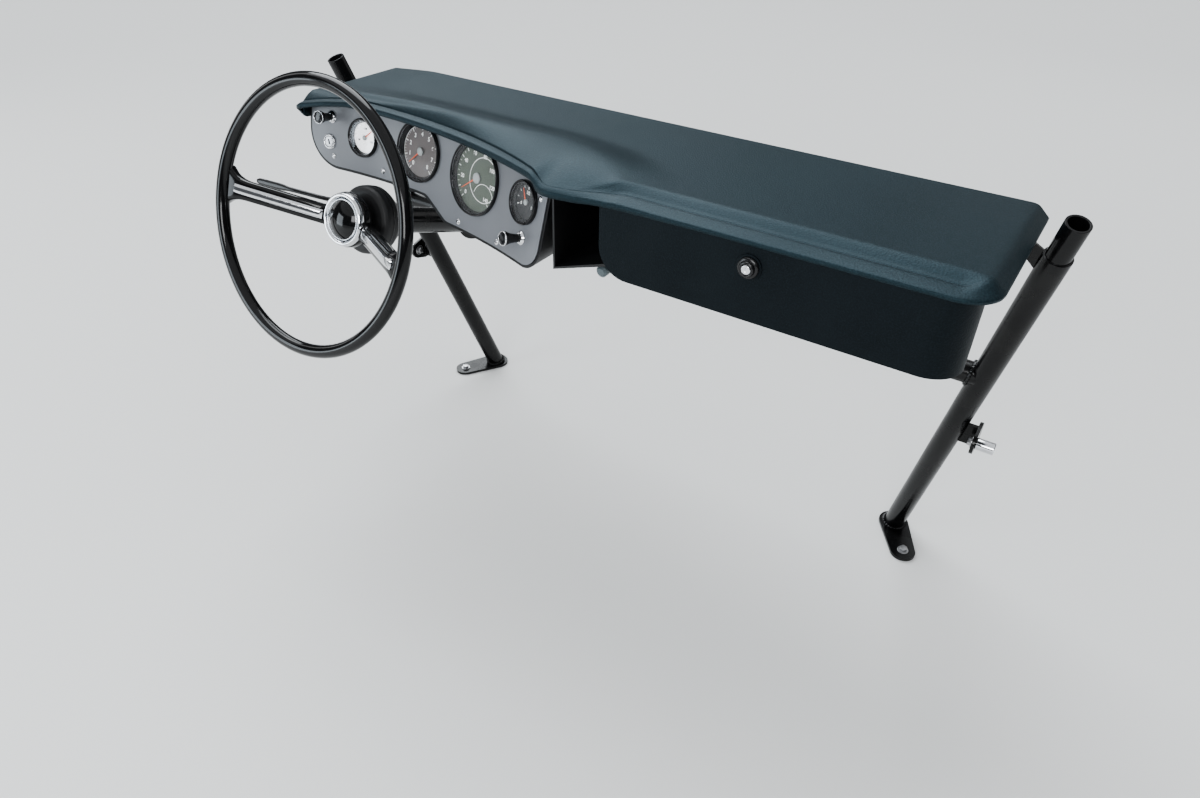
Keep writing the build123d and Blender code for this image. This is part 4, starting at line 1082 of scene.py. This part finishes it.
# %% Lock
lock_low, lock_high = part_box("lid_lock")
lock_middle = (lock_low + lock_high) / 2
lock_place = placed((lock_middle.x, lid_low.y, lock_middle.z), (0, -1, 0), (1, 0, 0))
LOCK = [(5.8, -2), (5.8, 8), (6.4, 8.9), (7.6, 9.2), (8.8, 8.6), (9.4, 7.2), (9.6, 5.4), (10.6, 5.2),
        (12.2, 4.4), (13, 2.8), (13, 0.2), (10, 0.2)]
piece("lock_ring", turned(LOCK, 0.3), BEZEL, lock_place, "lid", ["lid_lock"])
FLANGE = [(12.8, 0), (15.6, 0), (15.6, 0.9), (14.8, 1.5), (12.8, 1.6)]
piece("lock_flange", turned(FLANGE, 0.3), LID, lock_place, "lid")


def keyed_face(radius, height, slot_long, slot_wide):
    """Round bright face with a key slot sunk into it."""
    low, shoulder = height - 2.6, height - 0.6
    face = turned([(0, low), (radius, low), (radius, shoulder), (radius - 0.8, height), (0, height)], 0.2)
    return cut(face, block((slot_wide, slot_long, 4), (0, 0, height + 0.8)))


piece("lock_key_face", keyed_face(5.7, 9.4, 5.6, 1.2), CHROME, lock_place, "lid", ["lid_button"])
print("lid and lock made")

# %% [markdown]
# ## The instruments
# Each instrument is a spun black bezel with a thin darkened ring inside it, a sloped inner collar,
# a printed face, figures and ticks, a needle and a flat glass. The ticks are small bars, set
# round the face by a loop, and the figures are text turned into mesh, because a font object
# would not keep its place when it is exported.

# %% Instrument parts
BEZEL_HEIGHT = 7
LENS_TOP = 4.5
LENS_LOW = 3
FACE_LEVEL = -2.8
# name: along, up, bezel radius, can radius, needle angle in degrees
GAUGES = {
    "left_gauge": (-49.7, 64.4, 29.2, 26, 40),
    "tachometer": (67.4, 68.2, 44.6, 40, 222),
    "speedometer": (192.2, 61.7, 52.6, 49.5, 215),
    "right_gauge": (305.1, 63.1, 29.6, 26, 118),
}


def gauge_place(name):
    """Frame of a gauge on the plate."""
    along, up = GAUGES[name][:2]
    return on_panel(along, up)


def bar(length, width, matrix, height=0.12):
    """Thin bar along x, in millimetres, sent to its place by a matrix."""
    bm = block((length, width, height))
    bm.transform(matrix)
    return bm


INK_LEVEL = FACE_LEVEL + 0.06


def ray(angle, radius, level=INK_LEVEL):
    """Place on a face, x pointing outwards, at an angle in degrees from three o'clock."""
    return Matrix.Rotation(math.radians(angle), 4, "Z") @ Matrix.Translation((radius * MM, 0, level * MM))


def ticks(bm, sweep, count, radius, length, width):
    """Ticks from the first to the last angle of a sweep."""
    first, last = sweep
    for k in range(count):
        added(bm, bar(length, width, ray(first + (last - first) * k / (count - 1), radius)))
    return bm


BOLD = 0.035          # thickens the letters, as a share of their size


def figure(text, size):
    """Number or letter as a thin mesh, centred on the origin."""
    curve = bpy.data.curves.new("figure", "FONT")
    curve.body = text
    curve.size = size * MM
    curve.align_x = "CENTER"
    curve.align_y = "CENTER"
    curve.extrude = 0.05 * MM
    curve.offset = BOLD * size * MM
    return applied(linked("figure", curve))


def figures(bm, texts, sweep, radius, size):
    """Upright figures from the first to the last angle of a sweep."""
    first, last = sweep
    for k, text in enumerate(texts):
        angle = math.radians(first + (last - first) * k / (len(texts) - 1))
        spot = Vector((radius * math.cos(angle), radius * math.sin(angle), INK_LEVEL + 0.02)) * MM
        added(bm, figure(text, size), Matrix.Translation(spot))
    return bm


def arc_line(bm, radius, sweep, width, middle=(0, 0)):
    """Thin flat arc about a middle of its own."""
    first, last = sweep
    line = bmesh.new()
    radii = (radius - width / 2, radius + width / 2)
    ends = [line.verts.new((reach * MM, 0, (INK_LEVEL + 0.01) * MM)) for reach in radii]
    edge = line.edges.new(ends)
    line.transform(Matrix.Rotation(math.radians(first), 4, "Z"))
    bmesh.ops.spin(line, geom=[*ends, edge], axis=(0, 0, 1), angle=math.radians(last - first), steps=72)
    bmesh.ops.recalc_face_normals(line, faces=line.faces)
    bmesh.ops.solidify(line, geom=line.faces, thickness=0.08 * MM)
    return added(bm, line, Matrix.Translation((middle[0] * MM, middle[1] * MM, 0)))


print("gauges", [(name, 2 * shape[2]) for name, shape in GAUGES.items()])

# %% Cans, bezels, faces and glasses
FACES = dict(zip(GAUGES, (PALE_FACE, BROWN_FACE, OLIVE_FACE, BLACK_FACE)))
GLASS_INSET = 3.4
HUB_SHARE = 0.15
NEEDLE_SHARE = 0.74
BLADE_WIDE = 1.6

for name, (_, _, bezel_r, can_r, angle) in GAUGES.items():
    place = gauge_place(name)
    glass_r = bezel_r - GLASS_INSET
    seat_r = glass_r + 0.4
    face_r = can_r - 1.4
    bezel = [(can_r + 0.2, 0.05), (bezel_r, 0.05), (bezel_r, 4.6), (bezel_r - 0.5, 6.2),
             (bezel_r - 1.6, BEZEL_HEIGHT), (bezel_r - 2.6, 6.4), (seat_r, 4.9), (seat_r, 3)]
    piece(name + "_bezel_ring", turned(bezel, 0.3, SMOOTH), BEZEL, place, replaces=[name + "_bezel"])
    trim = [(0.5, 4.4), (0.4, 5), (-0.1, 5.2), (-0.5, 4.9), (-0.6, 4.4)]
    trim = [(glass_r + out, height) for out, height in trim]
    piece(name + "_inner_trim", turned(trim, 0.15, SMOOTH), TRIM, place)
    collar = [(glass_r + 0.6, 2.9), (glass_r - 0.6, 2.6), (can_r - 3.4, FACE_LEVEL + 0.4),
              (can_r - 1.5, FACE_LEVEL)]
    piece(name + "_inner_collar", turned(collar, 0.2), BEZEL, place)
    face = [(0, FACE_LEVEL), (face_r, FACE_LEVEL), (face_r, FACE_LEVEL - 1), (0, FACE_LEVEL - 1)]
    piece(name + "_face", turned(face), FACES[name], place, replaces=[name + "_dial"])
    lens = [(0, LENS_TOP), (seat_r, LENS_TOP), (seat_r, LENS_LOW), (0, LENS_LOW)]
    piece(name + "_lens", turned(lens), GLASS, place, replaces=[name + "_glass"])
    dressed(name + "_can", CAN)

    hub_r = can_r * HUB_SHARE
    reach = can_r * NEEDLE_SHARE
    hub = [(0, 3.6), (hub_r * 0.7, 3.4), (hub_r, 2.6), (hub_r, 0.3), (0, 0.3)]
    pointer = turned([(r, FACE_LEVEL + h) for r, h in hub], 0.3, 48)
    piece(name + "_needle_hub", pointer, HUB_GREY, place, replaces=[name + "_needle"])
    blade = bar(reach * 1.2, BLADE_WIDE, Matrix.Identity(4), 0.7)
    for vert in blade.verts:
        vert.co.y *= 0.45 if vert.co.x > 0 else 1.5
    blade.transform(ray(angle, reach * 0.4, FACE_LEVEL + 2.2))
    piece(name + "_needle_blade", blade, NEEDLE, place)
print("instruments made")

# %% [markdown]
# The printing follows the sweep of each needle: fine ticks, longer ones at the figures, and the
# figures themselves. The large dial also gets a thin pale ring and a pale arc that lie off its middle.

# %% Figures and ticks
ENGINE_SWEEP = (232, -52)
ROAD_SWEEP = (228, -48)
SMALL_SWEEP = (200, -20)


def printed(name, bm, ink):
    """Printing and other marks of one dial, laid on its face."""
    piece(name + "_print", bm, ink, gauge_place(name), sharp=60)


engine = bmesh.new()
ticks(engine, ENGINE_SWEEP, 41, 34.6, 2.6, 0.5)
ticks(engine, ENGINE_SWEEP, 9, 33.4, 5, 1.3)
figures(engine, [str(n) for n in range(9)], ENGINE_SWEEP, 25, 8.6)
arc_line(engine, 36.4, ENGINE_SWEEP[::-1], 0.6)
printed("tachometer", engine, INK)

road = bmesh.new()
ticks(road, ROAD_SWEEP, 29, 43.4, 3, 0.6)
ticks(road, ROAD_SWEEP, 15, 42.6, 4.6, 1.2)
figures(road, [str(20 * n) for n in range(8)], ROAD_SWEEP, 34, 7.6)
# a pale ring and a pale arc in the ink, off the dial's middle
arc_line(road, 31, (0, 359.9), 1.1, (14, 0))
arc_line(road, 22, (18, 162), 0.9, (17, -27))
printed("speedometer", road, INK)

small = bmesh.new()
ticks(small, SMALL_SWEEP, 9, 20.4, 3, 0.8)
ticks(small, SMALL_SWEEP, 3, 19.6, 4.6, 1.4)
figures(small, ["0", "1/2", "1"], SMALL_SWEEP, 12.6, 6)
printed("right_gauge", small, INK)

pale = bmesh.new()
ticks(pale, SMALL_SWEEP, 9, 20.4, 2.6, 0.5)
figures(pale, ["50", "100", "150"], SMALL_SWEEP, 13.5, 4)
printed("left_gauge", pale, DARK_INK)
print("faces printed")

# %% [markdown]
# ## The panel, its screws and switches
# The plate itself keeps its CAD shape, as it is already rolled and pierced. The domed screws
# have a cross recess, cut by an exact Boolean once and then copied. A pull switch is a bright
# nut, a thin stem that widens to a black knob, and a glossy cap in a bright rim.

# %% Panel
dressed("instrument_panel", PLATE, sharp=50, soft_edge=0.3)
# planes just under the skin, as a point and a direction upwards: what stands past them is cut away
UNDER_LEFT_END = ((-0.480, 0, 0.6595), (-0.156, 0, 1))
UNDER_LIP = ((0, -0.330, 0.6635), (0, -0.35, 1))
dressed("instrument_pod", SATIN, sharp=40, trim=UNDER_LEFT_END)
dressed("cubby_tray", SATIN, soft_edge=0.6, trim=UNDER_LIP)
dressed("glovebox_bin", SATIN, sharp=40, trim=UNDER_LIP)
dressed("hinge_pin", STEEL)
print("panel, pod, tray and bin dressed")

# %% Screws and switches
SCREWS = [(-111, 26), (-7, 23), (165.5, -9), (257, -9), (337, 78)]


def cross_screw():
    """Domed screw head with a cross recess."""
    bm = turned([(0, 2.3), (1.4, 2.2), (2.8, 1.8), (3.9, 1.1), (4.4, 0.3), (4.4, 0), (0, 0)], 0, 40)
    for turn in (0, 90):
        bm = cut(bm, bar(4.4, 0.9, ray(turn, 0, 2.2), 2.4))
    return bm


head = cross_screw()
screws = bmesh.new()
for k, (along, up) in enumerate(SCREWS):
    added(screws, head, on_panel(along, up, turn=0.4 + 1.1 * k))
piece("panel_screws", screws, CHROME)
head.free()


def pull_switch(name, along, up):
    """Bright nut, stem and knob of one switch."""
    place = on_panel(along, up)
    nut = [(3.4, 0.05), (9.5, 0.05), (9.5, 1.6), (8.4, 2.6), (7.2, 4), (5.4, 4.6), (3.4, 4.6)]
    piece(name + "_nut", turned(nut, 0.3, 64), CHROME, place)
    stem = [(0, -20), (3.1, -20), (3.1, 4.4), (5.2, 5), (5.6, 7), (5.9, 12), (6.6, 17), (7.8, 21.5),
            (9.2, 25), (9.6, 28.4), (9.2, 29.8), (8.8, 30.2), (0, 30.2)]
    piece(name + "_knob", turned(stem, 0.4, 64), KNOB, place)
    rim = [(9.4, 28.6), (9.9, 28.9), (10, 29.6), (9.6, 30.4), (9, 30.6), (8.5, 30.2), (8.5, 29.6)]
    piece(name + "_rim", turned(rim, 0.2, 64), CHROME, place)
    cap = [(0, 31.4), (4, 31.3), (7.4, 30.8), (8.8, 30.2), (8.8, 29)]
    return piece(name + "_cap", turned(cap, 0.2, 64), KNOB_CAP, place)


LEFT_SWITCH = (-115, 85)
RIGHT_SWITCH = (310, 15.6)
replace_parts(pull_switch("left_switch", *LEFT_SWITCH), "switch_knobs")
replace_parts(pull_switch("right_switch", *RIGHT_SWITCH), "switch_collars")

KEY_SPOT = (-119, 47)
KEY_TURN = 0.35
KEY_RING = [(8.4, 1.2), (8.6, 2.8), (9.6, 3.4), (11.2, 2.8), (12, 1.4), (12, 0.05), (8.4, 0.05)]
piece("ignition_ring", turned(KEY_RING, 0.3, 64), CHROME, on_panel(*KEY_SPOT), replaces=["ignition_lock"])
key_place = on_panel(*KEY_SPOT, turn=KEY_TURN)
piece("ignition_face", keyed_face(8.4, 2.6, 8, 3), STEEL, key_place)
# a black bar in the shallow key slot is painted shade, for the dark of a deep keyway
slot_shade_floor = bar(2.6, 7.8, Matrix.Translation((0, 0, 1.4 * MM)), 0.6)
piece("ignition_slot_shade", slot_shade_floor, KNOB, key_place)

dressed("cubby_knob", TEAL_GREY, sharp=25)
print("screws and switches made")

# %% [markdown]
# ## The hoop
# The legs, the cross tube and their fittings are enamelled steel. The legs are spun afresh so
# that they are truly round, and the left one is the right one's mirror image. Where a real hoop
# is welded there is a bead, a low ring with a rippled skin.

# %% Tubes
LEG_R = 17
FOOT_POINT = Vector((0.462, 0.058, 0.018))
CROSS_POINT = Vector((0.531, -0.074, 0.423))
LEG_TOP = 0.640
FOOT_FACE = 0.0052
SPIGOT_R = 14.5
SPIGOT_BORE = 11.5
SPIGOT_ABOVE = 50
SPIGOT_BELOW = 30
SPARE = 0.02            # length that the cut at the foot takes away
LEG_AXIS = (CROSS_POINT - FOOT_POINT).normalized()
leg_top = FOOT_POINT + LEG_AXIS * ((LEG_TOP - FOOT_POINT.z) / LEG_AXIS.z)
leg_foot = FOOT_POINT + LEG_AXIS * ((FOOT_FACE - FOOT_POINT.z) / LEG_AXIS.z)
mirror = Matrix.Scale(-1, 4, (1, 0, 0))


def flipped(bm):
    """The same piece on the left-hand side."""
    twin = bm.copy()
    bmesh.ops.transform(twin, matrix=mirror, verts=twin.verts)
    bmesh.ops.reverse_faces(twin, faces=twin.faces)
    return twin


def pair(name, bm, material, replaces=()):
    """A piece and its mirror image."""
    left = flipped(bm)
    right_piece = piece("right_" + name, bm, material)
    left_piece = piece("left_" + name, left, material)
    for node in replaces:
        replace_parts(right_piece, "right_" + node)
        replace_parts(left_piece, "left_" + node)


def leg_tube():
    """Raked tube cut level at the foot, with its spigot."""
    start = leg_foot - LEG_AXIS * SPARE
    length = (leg_top - start).length / MM
    tube = [(SPIGOT_R, 0), (LEG_R, 0), (LEG_R, length), (SPIGOT_R, length)]
    end = length + SPIGOT_ABOVE
    spigot = [(SPIGOT_R, end), (SPIGOT_BORE, end), (SPIGOT_BORE, length - SPIGOT_BELOW)]
    bm = turned(tube + spigot, 0.4, 64)
    bm.transform(placed(start, LEG_AXIS, (1, 0, 0)))
    bmesh.ops.bisect_plane(bm, geom=whole(bm), plane_co=(0, 0, leg_foot.z), plane_no=(0, 0, 1),
                           clear_inner=True)
    return bm


pair("leg_tube", leg_tube(), ENAMEL, ["leg"])
SOFT_EDGES = {"right_foot": 0.8, "left_foot": 0.8, "right_tab": 0.5, "left_tab": 0.5, "cross_tube": 0.4,
              "dash_stays": 0.4}
for node, soft_edge in SOFT_EDGES.items():
    dressed(node, ENAMEL, soft_edge=soft_edge)
UNDER_LEFT_CORNER = ((-0.500, 0, 0.6665), (-0.09, 0, 1))
dressed("dash_brackets", ENAMEL, soft_edge=0.4, trim=UNDER_LEFT_CORNER)


def bead(origin, axis, radius, thick, ripples, seed):
    """Weld bead: a low ring whose thickness ripples round it."""
    bm = hoop(radius, thick, 8, ripples * 4)
    for vert in bm.verts:
        turn = math.atan2(vert.co.y, vert.co.x)
        swell = 0.16 * math.sin(turn * ripples + seed) + 0.1 * math.sin(turn * 3 + seed)
        spoke = Vector((math.cos(turn), math.sin(turn), 0)) * radius * MM
        vert.co = spoke + (vert.co - spoke) * (1 + swell)
    bmesh.ops.recalc_face_normals(bm, faces=bm.faces)
    bm.transform(placed(origin, axis, (0.2, 1, 0.1)))
    return bm


FOOT_SEAM = leg_foot + Vector((0, 0, 0.0012))
CROSS_SEAM = CROSS_POINT - Vector((0.0176, 0, 0))
pair("foot_bead", bead(FOOT_SEAM, (0.08, -0.16, 1), 18, 3, 26, 1), ENAMEL)
pair("cross_bead", bead(CROSS_SEAM, (1, 0.04, -0.17), 16.6, 2.6, 24, 2), ENAMEL)
print("hoop tubes made")

# %% [markdown]
# The hoop is bolted down at its feet and at the side tabs, so a hex head, its washer and a short
# shank are made once by a function and used for both. The bright spacers are spun.

# %% Bolts
WASHER = 1.4
FOOT_BOLT = Vector((0.495, 0, 0.005))
TAB_BOLT = Vector((0.544, -0.052, 0.301))
SPACER_LENGTH = 26


def hex_bolt(radius, height, washer, shank):
    """Hex head on its washer, with a short shank below."""
    bm = bmesh.new()
    bmesh.ops.create_cone(bm, cap_ends=True, segments=6, radius1=radius * MM, radius2=radius * MM,
                          depth=height * MM)
    bmesh.ops.translate(bm, vec=(0, 0, (height / 2 + WASHER) * MM), verts=bm.verts)
    rim_edges = [e for e in bm.edges if all(v.co.z > (height + 1) * MM for v in e.verts)]
    bevelled(bm, rim_edges, 0.6, 2)
    added(bm, turned([(0, WASHER), (washer - 0.5, WASHER), (washer, 1), (washer, 0.1), (0, 0.1)], 0, 48))
    added(bm, turned([(radius * 0.52, 0.2), (radius * 0.52, -shank), (0, -shank)], 0, 32))
    return bm


foot_bolt = hex_bolt(7, 5.5, 9.5, 5)
foot_bolt.transform(placed(FOOT_BOLT, (0, 0, 1), (1, 0.3, 0)))
pair("foot_bolt", foot_bolt, STEEL)

tab_nut = hex_bolt(6.5, 5, 9.5, 5)
tab_nut.transform(placed(TAB_BOLT, (-1, 0, 0), (0, 1, 0.3)))
pair("tab_bolt", tab_nut, STEEL)

SPACER = [(4.3, 0.1), (8, 0.1), (9, 1), (9, SPACER_LENGTH - 1), (8, SPACER_LENGTH), (4.3, SPACER_LENGTH),
          (4.3, 0.11)]
spacer = turned(SPACER, 0.3, 64)
spacer.transform(placed(TAB_BOLT + Vector((0.005, 0, 0)), (1, 0, 0), (0, 1, 0)))
added(spacer, flipped(spacer))
piece("bright_spacers", spacer, CHROME, replaces=["side_spacers"])
print("bolts made")

# %% [markdown]
# ## Floor, light and camera
# The part stands on a plain pale floor. Two very broad lamps do the work of a cloudy sky that is
# brighter to the left and behind. A panel to the left brightens that end of the plate, one in
# front lights the faces, and two strips draw the highlights along the rim and the tubes.

# %% Floor and light
FLOOR_HALF = 30
FLOOR_Z = -0.0006


def floor():
    """Large plain floor, a hair below the feet."""
    finish = Finish("floor_pale", (0.72, 0.72, 0.71), 0.75)
    bm = bmesh.new()
    bmesh.ops.create_grid(bm, x_segments=1, y_segments=1, size=FLOOR_HALF)
    bmesh.ops.translate(bm, vec=(0, 0, FLOOR_Z), verts=bm.verts)
    mesh = bpy.data.meshes.new("floor")
    bm.to_mesh(mesh)
    mesh.materials.append(finish.material)
    linked("floor", mesh)


def lamp(name, data, power, tint, towards):
    """Put a light in the scene, shining from the side that towards points to."""
    data.energy = power
    data.color = tint
    obj = linked(name, data)
    obj.rotation_mode = "QUATERNION"
    obj.rotation_quaternion = Vector(towards).to_track_quat("Z", "Y")
    return obj


def softbox(name, place, target, width, height, power, tint=(1, 1, 1)):
    """Rectangular soft light aimed at a point."""
    data = bpy.data.lights.new(name, "AREA")
    data.shape = "RECTANGLE"
    data.size = width
    data.size_y = height
    obj = lamp(name, data, power, tint, Vector(place) - Vector(target))
    obj.location = place


def open_sky(name, towards, angle, power, tint):
    """Very broad, very soft lamp at a distance, which lights the whole floor evenly."""
    data = bpy.data.lights.new(name, "SUN")
    data.angle = math.radians(angle)
    lamp(name, data, power, tint, towards)


floor()
open_sky("bright_cloud", (-0.5, 0.36, 0.82), 50, 2.5, (0.93, 0.97, 1))
open_sky("sky", (0, -0.1, 1), 110, 1.5, (0.96, 0.98, 1))
softbox("left_panel", (-2.35, -3.05, 0.95), (-0.4, -0.3, 0.6), 1.5, 1.7, 38, (0.86, 0.94, 1))
softbox("front_panel", (0.9, -3.4, 2), (-0.1, -0.3, 0.6), 1.6, 1.2, 46, (0.98, 0.99, 1))
softbox("left_strip", (-3, -0.6, 1.8), (-0.3, -0.3, 0.5), 0.7, 2.6, 8)
softbox("rear_strip", (1.2, 3.4, 1.8), (0.2, -0.2, 0.5), 3.2, 0.8, 6)
world = bpy.data.worlds.new("room")
world.use_nodes = True
world.node_tree.nodes["Background"].inputs["Color"].default_value = (0.86, 0.9, 0.95, 1)
world.node_tree.nodes["Background"].inputs["Strength"].default_value = 0.12
bpy.context.scene.world = world
bpy.context.scene.view_settings.look = "AgX - Medium High Contrast"
print("lights", len(bpy.data.lights))

# %% [markdown]
# The camera stands high and to the right, and looks down across the part. Its place, lens and
# three angles were fitted to points whose places on the part are known. The angles are applied
# one after another: first the heading, then the pitch, then the roll.

# %% Camera
CAMERA_PLACE = (0.602894, -1.142948, 1.046270)
CAMERA_YAW = math.radians(32.8113)
CAMERA_PITCH = math.radians(35.7622)
CAMERA_ROLL = math.radians(1.2876)
CAMERA_LENS = 24.924

lens_data = bpy.data.cameras.new("camera")
lens_data.sensor_width = 36
lens_data.lens = CAMERA_LENS
lens_data.clip_start = 0.05
camera = linked("camera", lens_data)
heading = Matrix.Rotation(CAMERA_YAW, 4, "Z")
pitch = Matrix.Rotation(math.pi / 2 - CAMERA_PITCH, 4, "X")
roll = Matrix.Rotation(CAMERA_ROLL, 4, "Z")
camera.matrix_world = Matrix.Translation(CAMERA_PLACE) @ heading @ pitch @ roll
bpy.context.scene.camera = camera
print("camera", [round(c, 2) for c in CAMERA_PLACE], "lens", CAMERA_LENS, "mm")
